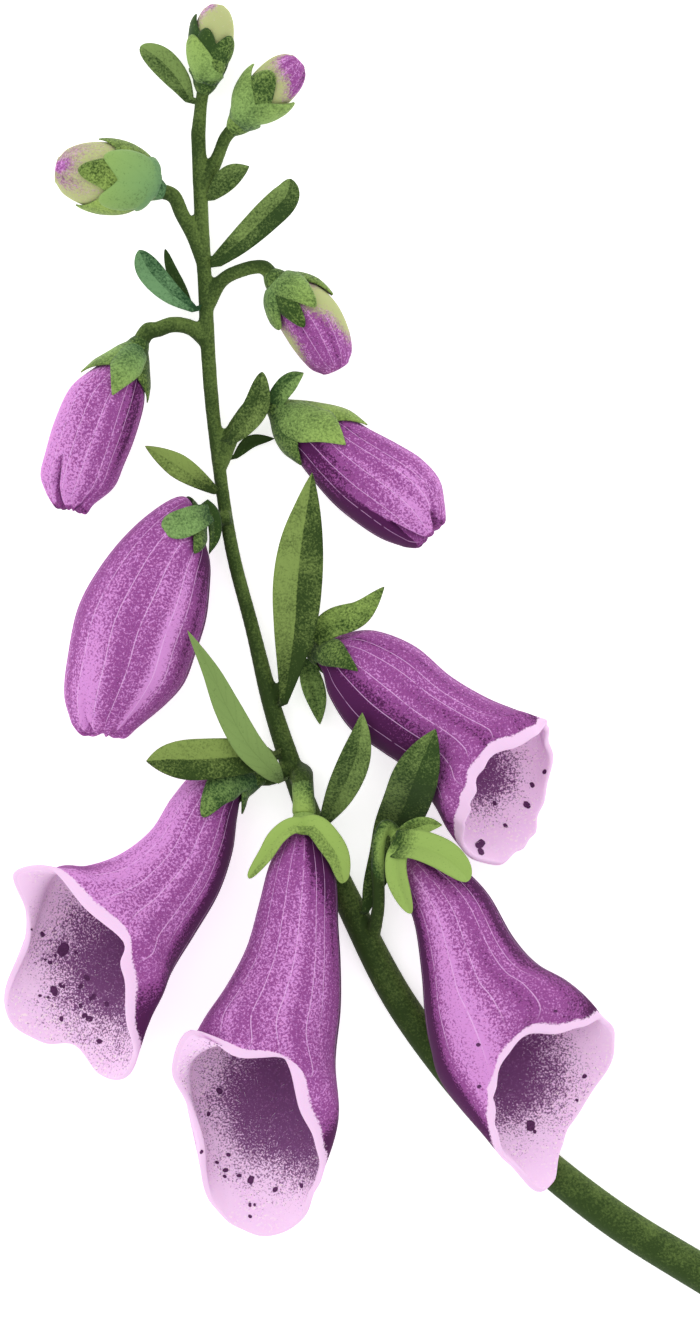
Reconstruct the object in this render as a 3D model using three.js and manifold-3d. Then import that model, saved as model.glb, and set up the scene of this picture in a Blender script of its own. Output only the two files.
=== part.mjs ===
// A cut foxglove flower spike that lies on a table: one stem with its flower stalks, the bracts along it,
// and eleven flowers from tight buds at the tip to open bells, each with its calyx and corolla.
// Lengths are millimetres. X and Y run over the table, with the tip of the spike towards +Y, and Z is up.
import * as THREE from "three";
import { mergeVertices } from "three/addons/utils/BufferGeometryUtils.js";
import Module from "manifold-3d";

const wasm = await Module();
wasm.setup();

// The shapes below are drawn from one corner of the spike. CENTRE moves the middle of its box to the origin.
const CENTRE = [56.369, 81.869];

const PETAL_WALL = 0.8;
const BLADE = 0.7;
const SEPAL = 0.6;
const SEPAL_GAP = 0.6;
const NODE_GAP = 0.35;
const STALK_GAP = 0.6;
const RECEPTACLE_LENGTH = 1.5;
const RECEPTACLE_END = 0.55;
const RECEPTACLE_MIDDLE = 0.85;
const RECEPTACLE_INSIDE = 0.95;

const STEM_SIDES = 10;
const STALK_SIDES = 6;
const BUD_SIDES = 14;
const BELL_SIDES = 20;
const FILAMENT_SIDES = 5;
const STEPS_PER_STATION = 2;
const BLADE_STEPS = 8;
const SEPAL_SHARES = [0, 0.25, 0.5, 0.75, 1];
const SEPAL_TURN = 72;
const FIRST_SEPAL = 18;
const SHOULDER = 0.7;
const NOTCH = 0.5;
const SHORT_SEPAL = 0.9;
const SWING = 1.4;

// The stem from its cut end to the tip bud: x, y, z and radius.
const STEM = [
  [111, -5.4, 2.5, 2.5],
  [101, 0.4, 2.45, 2.45],
  [91, 6.25, 2.4, 2.4],
  [80, 13.1, 2.3, 2.3],
  [70, 20.9, 2.15, 2.15],
  [62, 28.3, 2.1, 2.1],
  [52.3, 41, 2.0, 2.0],
  [45.5, 54, 2.1, 1.75],
  [41.5, 62.6, 2.4, 1.6],
  [38.6, 70, 2.7, 1.4],
  [35.3, 80, 2.9, 1.15],
  [32.8, 90, 3.1, 0.9],
  [30.2, 100, 3.2, 0.85],
  [28.6, 110, 3.2, 0.82],
  [27.3, 122, 3.2, 0.9],
  [26.6, 135, 3.2, 0.9],
  [26.1, 145, 3.2, 0.9],
  [25.7, 155, 3.2, 0.9],
];

// Each bract runs from its root beside the stem to its tip: a spine of x, y, z points, its greatest half
// width, how wide its root is as a share of that, where along it is widest and how sharp its tip is.
const BRACTS = [
  { spine: [[24, 159.3, 2.4], [22.8, 161.6, 2.4], [20.8, 164.1, 2.4], [18.2, 165.9, 2]],
    half: 1.8, root: 0.3, widest: 0.6, sharpness: 0.5 },
  { spine: [[27.9, 146.6, 4], [29.8, 148.8, 4.8], [32.4, 150.2, 4.6]],
    half: 1.4, root: 0.35 },
  { spine: [[28.2, 137.9, 3.8], [31.2, 140.4, 5], [34.6, 143.6, 5.4], [37.1, 146.2, 4.6],
    [37.8, 148.6, 3.6]], half: 2, root: 0.25, widest: 0.6, sharpness: 0.6 },
  { spine: [[25.2, 131.6, 4.5], [22, 133.8, 5], [19.4, 136.6, 4.6], [18, 139.3, 3.6]],
    half: 1.7, root: 0.3, widest: 0.6, sharpness: 0.6 },
  { spine: [[24.8, 131.6, 2.4], [23.2, 134.1, 2.2], [21.8, 136.8, 2], [21.1, 139.5, 1.6]],
    half: 0.6, roll: 40 },
  { spine: [[30.1, 114.4, 5], [31.7, 116.5, 6.4], [33.4, 119.2, 7.6], [34.1, 123.4, 7.6]],
    half: 1.5, root: 0.3 },
  { spine: [[30.5, 112.4, 2.4], [32.6, 114.4, 2.2], [35.7, 114.8, 1.8]],
    half: 0.8, root: 0.4, roll: 30 },
  { spine: [[27.9, 108, 4.2], [24.3, 110.4, 6], [21.8, 112, 6.2], [18.8, 113.8, 5.6]],
    half: 1.6, root: 0.35 },
  { spine: [[36.9, 80.3, 4.6], [37.8, 86, 7.2], [38.4, 91, 9], [38.7, 96, 9.8], [39.2, 101, 9.8],
    [39.9, 105.5, 9.6], [40.6, 110.3, 9.2]], half: 3.2, root: 0.15, widest: 0.5 },
  { spine: [[36.5, 70.2, 6], [35, 71.9, 8.8], [32.2, 75, 10.8], [29.6, 79.7, 11.4], [27.4, 84.5, 12.6],
    [24.4, 89.8, 14.6]], half: 1.9, root: 0.25 },
  { spine: [[42.2, 65, 4.6], [44.1, 68.4, 7], [45.9, 72.4, 10], [46.8, 75.8, 12], [47.1, 79.1, 13.4]],
    half: 2.1, root: 0.35 },
  { spine: [[35.4, 73.4, 5.8], [33.6, 73.4, 7.6], [30.5, 73.3, 9.6], [25.5, 73, 10.6], [21.8, 73, 10.6],
    [19, 72.8, 10]], half: 2.7, root: 0.25, widest: 0.6 },
  { spine: [[47.5, 53.2, 4.6], [48.5, 56.5, 4.6], [50.1, 60.6, 4.4], [51.3, 64, 5], [52.8, 67.4, 8.8],
    [54, 70.8, 13.3], [55.3, 74, 15.1], [56.6, 77, 15.6]], half: 3.1, root: 0.15, widest: 0.66, fold: 0.12 },
];

// Each bud is a pointed egg along a spine: its greatest radius, how bluntly it swells from its base, its
// five sepals and its stalk. A sepal is its place round the bud, the x, y its tip lies over, its half width
// and how far its tip stands off. "notch" is how deep two sepals join, as a share of the shorter one.
const BUDS = [
  {
    number: "01",
    spine: [[26.7, 161.3, 3.8], [27.6, 165.8, 4.2], [28.2, 171.3, 4.2]],
    half: 2.6,
    base: 2.1,
    sepals: [[0, 26, 167.2, 1.6], [1, 27.4, 167.9, 1.4], [2, 29.4, 166.9, 1.5], [3, 28.9, 167, 1.4],
      [4, 25.6, 169.6, 1.4]],
    stalk: [[25.7, 154, 3.2]],
  },
  {
    number: "02",
    spine: [[31.1, 155.9, 4], [35, 160.1, 4.6], [38.9, 164, 4.6]],
    half: 3,
    base: 2.1,
    sepals: [[0, 33.2, 163.2, 1.8], [1, 35.4, 162.2, 1.7], [2, 37.6, 158.9, 1.8], [3, 37, 160, 1.6],
      [4, 34.6, 162.6, 1.6]],
    stalk: [[26.6, 147.4, 3.2], [28.3, 151.5, 3.4]],
  },
  {
    number: "03",
    spine: [[20.1, 147.3, 5.2], [17.9, 148.1, 5.5], [13, 149, 5.5], [7.1, 149.7, 5.5]],
    half: 4.4,
    base: 1.5,
    sepals: [[0, 13, 146.2, 2.2], [1, 10.5, 150, 2.2], [2, 13.7, 150.9, 2.2], [3, 14.5, 153.2, 2.2],
      [4, 10.3, 145.6, 2.2]],
    stalk: [[26.5, 138, 3.2], [25.1, 141.2, 3.5], [23.6, 144, 4.4]],
  },
  {
    number: "04",
    spine: [[36, 135.2, 4.8], [37.6, 133.5, 5], [40.7, 129.7, 5], [43.8, 123.6, 4.8]],
    half: 4,
    base: 1.3,
    sepals: [[0, 40.8, 131.7, 2], [1, 39.6, 129.3, 2], [2, 37.2, 129.1, 2.2], [3, 38.4, 130.6, 2],
      [4, 43, 133.4, 2]],
    stalk: [[26.9, 132.2, 3.2], [28.7, 135.2, 3.6], [31.2, 136.6, 4.4]],
  },
];

// Each bell is a row of upright rings: the left edge x, y, the right edge x, y, the bottom and the top, and
// how far the ring leans, with its bottom ahead of its top. Left and right are as seen on a hanging bell.
const CLOSED_BELLS = [
  {
    number: "05",
    rings: [
      [17, 127, 18.6, 126.1, 3.4, 5.4, 0],
      [14.7, 125.5, 18.7, 123.9, 2.2, 7.2, 0],
      [12.1, 123.9, 18.8, 121.4, 1.4, 8.8, 0],
      [9.1, 121.4, 18.6, 118.6, 0.5, 9.8, 0],
      [7.1, 117.2, 17.4, 114.5, 0.2, 10.2, 0],
      [5.9, 113.2, 16.1, 111.3, 0.2, 10, 0],
      [5.2, 110, 14.8, 108.4, 0.8, 9.2, 0],
      [6, 107.5, 12.2, 106.2, 2.2, 7.6, 0],
    ],
    tip: [9.2, 105, 4.8],
    sepals: [[0, 18.6, 119.4, 2.2], [1, 14.5, 120.3, 2.4], [2, 10.1, 123.2, 2.2], [3, 12, 122.4, 2],
      [4, 17, 120.5, 2]],
    stalk: [[27, 127.6, 3.2], [24.8, 129.2, 3.4], [22.4, 129.6, 3.8], [20.3, 128.9, 4.2]],
  },
  {
    number: "06",
    rings: [
      [35.5, 117.9, 36.9, 119.3, 3.4, 5.4, 0],
      [36.8, 114.4, 41, 118.8, 2.2, 7.8, 0],
      [38.3, 112.4, 44.8, 117.9, 1.6, 9.6, 0],
      [40.5, 109.5, 48, 116, 0.9, 10.6, 0],
      [43.4, 106.2, 51.6, 114.1, 0.3, 11.3, 0],
      [46.6, 103.6, 54.8, 112.1, 0.2, 11.4, 0],
      [49.6, 101.7, 57.2, 109.3, 0.6, 10.8, 0],
      [52.6, 100.6, 57.9, 105.8, 2, 9, 0],
    ],
    tip: [56.4, 102, 5.4],
    sepals: [[0, 48, 116.2, 2.4], [1, 45, 113.7, 2.4], [2, 39.8, 111.4, 2.4], [3, 42, 113, 2.2]],
    spreading: [{ spine: [[35.6, 119.2, 5.6], [36.6, 120.9, 6.2], [38, 122.4, 6.4], [39.5, 123.3, 6.2]],
      half: 1.3, root: 0.9 }],
    stalk: [[28.5, 111.6, 3.2], [30.6, 116.2, 3.6], [32.8, 119.2, 4.2]],
  },
  {
    number: "07",
    rings: [
      [25.6, 105.3, 26, 103.4, 3.9, 6.1, 0],
      [24, 107.2, 26.6, 101.5, 2.2, 8, 0],
      [21.4, 106.4, 27.3, 98.7, 1.2, 10, 0],
      [17.2, 103.1, 27.3, 95.8, 0.4, 11.8, 0],
      [13.3, 98.5, 26.8, 91.2, -0.3, 13.6, 0],
      [10.2, 93, 25.5, 87, -0.5, 14.2, 0],
      [8.8, 86.6, 24, 83, -0.3, 13.8, 0],
      [8.3, 81.5, 21.6, 80.2, 0.6, 12.4, 0],
      [9.2, 77.8, 18, 77.2, 2.6, 10, 0],
    ],
    tip: [13.4, 75.6, 6.2],
    twist: -20,
    notch: 0.35,
    sepals: [[0, 27.2, 99.7, 1.8], [1, 25, 99.8, 2], [2, 20.8, 103.5, 2.4], [3, 22.6, 104.4, 2.2],
      [4, 26, 100.6, 2]],
    stalk: [[30, 104.5, 4.6]],
    thin: 0.8,
  },
];

// An open bell also has the edge of its mouth: sixteen x, y points, from the top of the tube round by the
// right, the lowest lip and the left, and the levels of that edge at the top and the lowest lip.
const OPEN_BELLS = [
  {
    number: "08",
    rings: [
      [40.5, 86.6, 41.9, 88.2, 4, 6, 0],
      [41.9, 84.4, 45.2, 89.5, 2.8, 8.6, 0],
      [42.8, 81.2, 49, 89.7, 1.8, 11.2, 0],
      [45.5, 77, 54, 87.7, 0.5, 13.2, 0],
      [49.5, 74.1, 58.5, 83.9, -0.5, 13, 0],
      [53.4, 71.3, 63, 81.2, -0.5, 13.6, 0],
      [56.5, 67, 67, 79.5, 0, 14.6, 2],
      [58.6, 63.4, 69.6, 78.6, 0.1, 15, 4],
    ],
    mouth: [
      [61.7, 72.4], [63.8, 74.6], [66.7, 75.9], [69.4, 77], [70.8, 78.2], [71.4, 76], [71.8, 73],
      [71.3, 69.8], [70.2, 66.7], [69.2, 63.2], [67, 60.9], [64.2, 59.3], [61.2, 60.2], [59.3, 63.2],
      [59.6, 65.9], [60.5, 69],
    ],
    mouthTop: 14.6,
    mouthLow: 0.9,
    mouthRoll: 0,
    sepals: [[1, 46.6, 84.5, 1.4], [3, 43.4, 84, 1.8], [4, 45.4, 88.2, 1.8]],
    spreading: [
      { spine: [[40.7, 88.7, 6.7], [43.2, 90.7, 7.8], [46.8, 92.1, 8], [50, 95.5, 7]],
        half: 1.9, root: 0.6 },
      { spine: [[39.7, 86, 4.4], [40.4, 83.5, 2.9], [41.2, 80.6, 2.5], [41.6, 77.5, 2.2]],
        half: 1.5, root: 0.6 },
    ],
    stalk: [[34.6, 82.4, 3], [36.3, 86.2, 3.6]],
    thin: 0.9,
  },
  {
    number: "09",
    rings: [
      [32.4, 71, 33.3, 69.8, 3.2, 5.2, 0],
      [29.4, 72.2, 31.5, 68.4, 2.2, 7.4, 0],
      [25.8, 71.8, 30.8, 65.2, 1.4, 9.8, 0],
      [22.3, 68, 30.2, 60.8, 0.6, 11.4, 0],
      [19.6, 63.8, 28.4, 55.5, -0.1, 12.4, 0],
      [15.6, 60.7, 25.3, 50.2, -0.5, 14, 0],
      [11, 59.1, 22.4, 45.5, -0.5, 15.6, 2],
      [7, 58.8, 20, 40.5, 0, 16.4, 4.5],
    ],
    mouth: [
      [16.5, 50.6], [16.9, 47], [17.6, 44], [17.3, 39.5], [18, 34.6], [16.2, 31.6], [13, 32.3],
      [9.8, 35.9], [5.6, 36.3], [1.3, 39], [0.6, 43.3], [3, 49], [3.4, 54], [2.7, 58.6], [7.6, 58.9],
      [12, 54.6],
    ],
    mouthTop: 16,
    mouthLow: 0.7,
    mouthRoll: 0,
    notch: 0.7,
    sepals: [[0, 30.6, 65.9, 2], [1, 26.3, 65.6, 2.4], [2, 24.6, 70.2, 2.2], [3, 27, 69.6, 2.2],
      [4, 29.8, 66.8, 2]],
    stalk: [[38, 71.9, 2.8], [36.6, 71.3, 3.4]],
    thin: 0.9,
  },
  {
    number: "10",
    rings: [
      [38.5, 65, 40.5, 65, 8, 10, 0],
      [36.6, 62.6, 42.4, 62.2, 7, 12.6, 0],
      [34.9, 59, 43.7, 57.5, 5.8, 14.1, 0],
      [33.6, 54, 44, 51.5, 4.2, 14.2, 0],
      [32, 48.5, 44.3, 46.5, 2.6, 14.4, 0],
      [29.3, 43.4, 44.3, 40.5, 0.9, 15.3, 1],
      [26.3, 38.9, 43.6, 33.5, -0.4, 16.2, 3],
      [24, 34, 43.7, 25, -0.4, 16.6, 6.2],
    ],
    mouth: [
      [36.5, 34.7], [38.9, 32.6], [40.1, 28.3], [41.6, 24.3], [42.2, 19.8], [41, 16.8], [39.6, 13.6],
      [36.8, 11.5], [33, 11.3], [29, 13.4], [26.4, 17.2], [25.9, 22.4], [24.2, 28.4], [22.9, 33.4],
      [26, 37.6], [31.2, 35.4],
    ],
    mouthTop: 16.2,
    mouthLow: 0.7,
    mouthRoll: 0,
    twist: 54,
    notch: 0.2,
    sepals: [[0, 43.8, 57, 4, 0.5], [1, 34, 57.2, 3.4, 1.3], [2, 35.6, 60, 2], [3, 39.4, 58.6, 2],
      [4, 43, 60, 2]],
    stalk: [[39, 71, 2.7], [39.3, 70.4, 6], [39.4, 68.8, 8]],
  },
  {
    number: "11",
    rings: [
      [51.5, 61.5, 53.3, 62.4, 7.5, 9.5, 0],
      [51.6, 58.3, 56.6, 60.8, 6, 11.8, 0],
      [52.8, 54.8, 60, 59, 4.6, 13.2, 0],
      [54, 51, 63.5, 55.5, 3.6, 14.4, 0],
      [54.8, 45, 66.7, 50, 2.6, 15.2, 0],
      [55.2, 40, 69.8, 46.5, 1.8, 16.2, 1],
      [56, 35.5, 73.8, 44.1, 1.6, 17, 2.5],
      [58, 30, 76.8, 41.5, 2.6, 17.8, 3.5],
    ],
    mouth: [
      [65.8, 35.7], [68.8, 38.1], [72.4, 38.5], [75.5, 38.9], [78.3, 39.6], [79.9, 37.2], [79.2, 33.5],
      [77, 29.9], [74.3, 26], [72.7, 22.4], [71.6, 18], [69.2, 17.1], [66.4, 20.2], [64.3, 22.8],
      [63.5, 27], [63.8, 31.2],
    ],
    mouthTop: 16.8,
    mouthLow: 3.6,
    mouthRoll: -0.8,
    twist: 54,
    sepals: [[0, 60.4, 57.2, 4, 0.3], [1, 54, 53.2, 2.8, 0.5], [2, 53.4, 55.4, 2], [3, 56, 56.4, 2]],
    spreading: [{ spine: [[52.4, 62.6, 10], [54, 63.9, 11], [55.8, 64.6, 11.2], [57.5, 64.5, 10.8]],
      half: 1.3, root: 0.9 }],
    stalk: [[48.3, 49.2, 2.1], [49.2, 54, 6.3], [49.1, 59, 8.6], [49.3, 62.5, 9.2], [50, 64.3, 8.9]],
    thin: 0.8,
  },
];

// A bud swells along its length like a blunt egg.
const BUD_STATIONS = [0, 0.1, 0.26, 0.45, 0.64, 0.8, 0.92, 0.98];
const BUD_WIDEST = 0.58;
const BUD_TIP_BLUNTNESS = 2.4;
const BASE_RADIUS = 1;

// A closed bell's edge and the hollow behind it: the share of the way from the last ring to the tip, and how
// far both are pushed on along the bell, and more at the middle of each lobe, as shares of that way.
const LOBES = 5;
const CLOSED_EDGE = { share: 0.4, push: 0.15, lobe: 0.3 };
const CLOSED_HOLLOW = { share: 0.75, push: -0.2, lobe: 0.1 };
const HOLLOW_DEPTH = 0.4;

// A flower stalk is thicker under a long, wide bell, and widest where it leaves the stem.
const STALK_RADIUS = 0.55;
const STALK_PER_BELL = 0.012;
const STALK_ROOT = 1.3;

// In each open bell: the share of the bell's length that each filament and the style reach, by their angle,
// and how far they hang from the roof. The ovary is a station and a radius for each of its rings.
const FILAMENTS = [[58, 0.6], [76, 0.7], [104, 0.7], [122, 0.6], [90, 0.78]];
const STYLE_ANGLE = 90;
const FILAMENT_RADIUS = 0.42;
const FILAMENT_START = 3.4;
const FILAMENT_STEP = 1.4;
const FILAMENT_HANG = 0.5;
const ANTHER_HANG = 0.9;
const ANTHER_RADIUS = 0.9;
const OVARY = [[2.35, 0.8], [2.6, 1.2], [2.9, 0.8]];
const OVARY_STATION = 2.6;

const LEAF_TIP = 0.08;
const LEAF_SHARPNESS = 0.85;

function material(name, colour, roughness) {
  return new THREE.MeshStandardMaterial({ name, color: colour, roughness, metalness: 0 });
}

const MATERIALS = {
  stem: material("stem", 0x55692d, 0.6),
  leaf: material("leaf", 0x7d9450, 0.6),
  calyx: material("calyx", 0x7a9c5e, 0.6),
  bud: material("bud", 0xb98fae, 0.6),
  petal: material("petal", 0xa055a5, 0.6),
  stamen: material("stamen", 0xefe3b4, 0.6),
};

const UP = new THREE.Vector3(0, 0, 1);

const spike = new THREE.Group();

function vector([x, y, z]) {
  return new THREE.Vector3(x, y, z);
}

function signedVolume(points, faces) {
  let volume = 0;
  const cross = new THREE.Vector3();
  for (let i = 0; i < faces.length; i += 3) {
    const [a, b, c] = [faces[i], faces[i + 1], faces[i + 2]];
    volume += points[a].dot(cross.crossVectors(points[b], points[c]));
  }
  return volume;
}

// The closed skin over a row of rings with the same number of points, drawn to a point at either end.
function skin(rings, start, end) {
  const count = rings[0].length;
  const points = [start, ...rings.flat(), end];
  const last = points.length - 1;
  const at = (ring, i) => 1 + ring * count + (i % count);
  const faces = [];
  for (let i = 0; i < count; i++) {
    faces.push(0, at(0, i + 1), at(0, i));
    for (let ring = 1; ring < rings.length; ring++) {
      const [a, b] = [at(ring - 1, i), at(ring - 1, i + 1)];
      const [c, d] = [at(ring, i), at(ring, i + 1)];
      faces.push(a, b, c, b, d, c);
    }
    faces.push(last, at(rings.length - 1, i), at(rings.length - 1, i + 1));
  }
  if (signedVolume(points, faces) < 0) faces.reverse();
  return new THREE.BufferGeometry().setFromPoints(points).setIndex(faces);
}

function solidOf(geometry) {
  const merged = mergeVertices(geometry, 1e-4);
  const mesh = new wasm.Mesh({
    numProp: 3,
    vertProperties: merged.attributes.position.array,
    triVerts: new Uint32Array(merged.index.array),
  });
  return new wasm.Manifold(mesh);
}

function joined(geometries) {
  const solid = geometries.map(solidOf).reduce((all, next) => all.add(next));
  const { vertProperties, triVerts } = solid.getMesh();
  return new THREE.BufferGeometry()
    .setAttribute("position", new THREE.BufferAttribute(vertProperties, 3))
    .setIndex(new THREE.BufferAttribute(triVerts, 1));
}

function place(name, geometry, finish) {
  const mesh = new THREE.Mesh(geometry, finish);
  mesh.name = name;
  spike.add(mesh);
}

function smooth(points, loop = false) {
  return new THREE.CatmullRomCurve3(points, loop, "catmullrom", 0.5);
}

function middle(ring) {
  return ring.reduce((sum, point) => sum.add(point), new THREE.Vector3()).divideScalar(ring.length);
}

// A round tube along x, y, z, radius stations.
function tube(stations, sides, stepsPerStation) {
  const path = smooth(stations.map(vector));
  const radii = smooth(stations.map(([, , , radius]) => new THREE.Vector3(radius, 0, 0)));
  const steps = (stations.length - 1) * stepsPerStation;
  const rings = [];
  for (let step = 0; step <= steps; step++) {
    const along = path.getTangent(step / steps);
    const lift = Math.abs(along.z) > 0.9 ? new THREE.Vector3(1, 0, 0) : new THREE.Vector3(0, 0, 1);
    const side = new THREE.Vector3().crossVectors(along, lift).normalize();
    const up = new THREE.Vector3().crossVectors(side, along);
    const radius = radii.getPoint(step / steps).x;
    rings.push(circle(path.getPoint(step / steps), side, up, radius, radius, sides));
  }
  return skin(rings, middle(rings[0]), middle(rings.at(-1)));
}

function circle(centre, side, up, width, height, sides) {
  return Array.from({ length: sides }, (_, i) => {
    const turn = (i / sides) * 2 * Math.PI;
    return centre
      .clone()
      .addScaledVector(side, width * Math.cos(turn))
      .addScaledVector(up, height * Math.sin(turn));
  });
}

// A leaf's half width along its length, as a share of the greatest one.
function leafShape(share, { root = 0.45, widest = 0.45, sharpness = LEAF_SHARPNESS }) {
  if (share < widest) return root + (1 - root) * Math.sin((Math.PI / 2) * (share / widest));
  return Math.max(LEAF_TIP, Math.cos((Math.PI / 2) * ((share - widest) / (1 - widest))) ** sharpness);
}

// A thin leaf along its spine, folded up a little on either side of its midrib.
function blade({ spine, half, roll = 0, fold = 0.3, ...shape }) {
  const path = smooth(spine.map(vector));
  const rings = [];
  for (let step = 0; step < BLADE_STEPS; step++) {
    const share = step / BLADE_STEPS;
    const along = path.getTangent(share);
    const side = new THREE.Vector3(along.y, -along.x, 0).normalize();
    side.applyAxisAngle(along, THREE.MathUtils.degToRad(roll));
    const up = new THREE.Vector3().crossVectors(side, along).normalize();
    const width = half * leafShape(share, shape);
    const at = (across, level) =>
      path
        .getPoint(share)
        .addScaledVector(side, across)
        .addScaledVector(up, fold * Math.abs(across) + level);
    rings.push([
      at(-width, BLADE / 2), at(0, BLADE / 2), at(width, BLADE / 2),
      at(width, -BLADE / 2), at(0, -BLADE / 2), at(-width, -BLADE / 2),
    ]);
  }
  return skin(rings, middle(rings[0]), path.getPoint(1));
}

// The outside of a corolla. point(turn, station) and outward(turn, station) take the angle round the tube,
// 0 at its right and a quarter turn at its top, and the place along it, counted in rings from its base.
class Corolla {
  constructor(sections) {
    this.sections = sections;
    this.last = sections.length - 1;
  }

  point(turn, station) {
    const share = Math.min(Math.max(station / this.last, 0), 1);
    return smooth(this.sections.map((section) => section(turn))).getPoint(share);
  }

  outward(turn, station) {
    const [du, dv] = [0.02, 0.02];
    const low = Math.max(station - dv, 0);
    const high = Math.min(station + dv, this.last);
    const round = this.point(turn + du, station).sub(this.point(turn - du, station));
    const along = this.point(turn, high).sub(this.point(turn, low));
    return round.cross(along).normalize();
  }

  offset(turn, station, distance) {
    return this.point(turn, station).addScaledVector(this.outward(turn, station), distance);
  }

  centre(station) {
    return this.point(0, station).add(this.point(Math.PI, station)).divideScalar(2);
  }

  radius(turn, station) {
    return this.point(turn, station).distanceTo(this.centre(station));
  }

  aim() {
    return this.centre(1).sub(this.centre(0)).normalize();
  }

  // The angle and the station of the upper outside that a point x, y lies above, or of the underside.
  under(x, y, below) {
    const target = new THREE.Vector3(x, y, 0);
    let nearest = { gap: Infinity };
    for (let station = 0; station <= this.last; station += 0.05) {
      const [right, left] = [this.point(0, station), this.point(Math.PI, station)];
      [right.z, left.z] = [0, 0];
      const across = right.clone().sub(left).divideScalar(2);
      const away = target.clone().sub(right.add(left).divideScalar(2));
      const share = away.dot(across) / across.lengthSq();
      const gap = away.addScaledVector(across, -share).length();
      if (gap < nearest.gap) nearest = { gap, station, share };
    }
    const turn = Math.acos(THREE.MathUtils.clamp(nearest.share, -1, 1));
    return [below ? -turn : turn, nearest.station];
  }
}

function upright([leftX, leftY, rightX, rightY, bottom, top, lean]) {
  const across = new THREE.Vector3(rightX - leftX, rightY - leftY, 0).divideScalar(2);
  const forward = new THREE.Vector3(across.y, -across.x, 0).normalize();
  const centre = new THREE.Vector3((leftX + rightX) / 2, (leftY + rightY) / 2, (bottom + top) / 2);
  const up = new THREE.Vector3(0, 0, (top - bottom) / 2).addScaledVector(forward, -lean);
  return (turn) => centre.clone().addScaledVector(across, Math.cos(turn)).addScaledVector(up, Math.sin(turn));
}

function mouthEdge({ mouth, mouthTop, mouthLow, mouthRoll }) {
  const edge = smooth(mouth.map(([x, y]) => new THREE.Vector3(x, y, 0)), true);
  const level = (mouthTop + mouthLow) / 2;
  const swing = (mouthTop - mouthLow) / 2;
  return (turn) => {
    const share = 0.25 - turn / (2 * Math.PI);
    const point = edge.getPoint(share - Math.floor(share));
    point.z = level + swing * Math.sin(turn) + mouthRoll * Math.cos(turn);
    return point;
  };
}

function budSections({ spine, half, base }) {
  const path = smooth(spine.map(vector));
  return BUD_STATIONS.map((share) => {
    const along = path.getTangent(share);
    const across = new THREE.Vector3(-along.y, along.x, 0).normalize();
    const [side, bluntness] = share < BUD_WIDEST ? [BUD_WIDEST, base] : [1 - BUD_WIDEST, BUD_TIP_BLUNTNESS];
    const swell = (1 - Math.abs((share - BUD_WIDEST) / side) ** bluntness) ** (1 / bluntness);
    const radius = Math.max(half * swell, BASE_RADIUS);
    return (turn) =>
      path
        .getPoint(share)
        .addScaledVector(across, radius * Math.cos(turn))
        .addScaledVector(UP, radius * Math.sin(turn));
  });
}

function onTable(point, level) {
  point.z = Math.max(point.z, level);
  return point;
}

function ringAt(corolla, station, sides, depth) {
  return Array.from({ length: sides }, (_, i) =>
    onTable(corolla.offset((i / sides) * 2 * Math.PI, station, -depth), depth));
}

function wholeRings(corolla, sides) {
  return Array.from({ length: corolla.last + 1 }, (_, station) => ringAt(corolla, station, sides, 0));
}

function budCorolla(corolla, { spine }) {
  return skin(wholeRings(corolla, BUD_SIDES), corolla.centre(0), vector(spine.at(-1)));
}

// A closed bell ends in lobes that meet over a shallow hollow. One lobe lies at the top.
function closedCorolla(corolla, { tip }) {
  const rings = wholeRings(corolla, BELL_SIDES);
  const point = vector(tip);
  const forward = point.clone().sub(corolla.centre(corolla.last));
  const wave = (i) => Math.cos((LOBES * (i - BELL_SIDES / 4) * 2 * Math.PI) / BELL_SIDES);
  const towards = ({ share, push, lobe }) =>
    rings[corolla.last].map((from, i) =>
      from.clone().lerp(point, share).addScaledVector(forward, push + lobe * wave(i)));
  const closing = [towards(CLOSED_EDGE), towards(CLOSED_HOLLOW)];
  return skin([...rings, ...closing], corolla.centre(0), point.addScaledVector(forward, -HOLLOW_DEPTH));
}

function openCorolla(corolla, sides) {
  const stations = [...Array(corolla.last - 1).keys(), corolla.last - 1, corolla.last - 0.5, corolla.last];
  const outside = stations.map((station) => ringAt(corolla, station, sides, 0));
  const inside = stations
    .filter((station) => station >= 2)
    .reverse()
    .map((station) => ringAt(corolla, station, sides, PETAL_WALL));
  return skin([...outside, ...inside], corolla.centre(0), middle(inside.at(-1)));
}

// Where a sepal runs on the corolla: the angle it starts at, and the angle and the station of its tip. A slot
// of the cup without a sepal of its own gets a short one.
function sepalCourse(corolla, slot, { sepals, twist = FIRST_SEPAL }) {
  const start = THREE.MathUtils.degToRad(twist + slot * SEPAL_TURN);
  const row = sepals.find(([own]) => own === slot);
  if (!row) return { start, end: start, reach: SHORT_SEPAL, half: 1, flare: 0 };
  const [, x, y, half, flare = 0] = row;
  const [end, reach] = corolla.under(x, y, Math.sin(start) < 0);
  const turns = Math.round((start - end) / (2 * Math.PI));
  return { start, end: end + turns * 2 * Math.PI, reach, half, flare };
}

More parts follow.
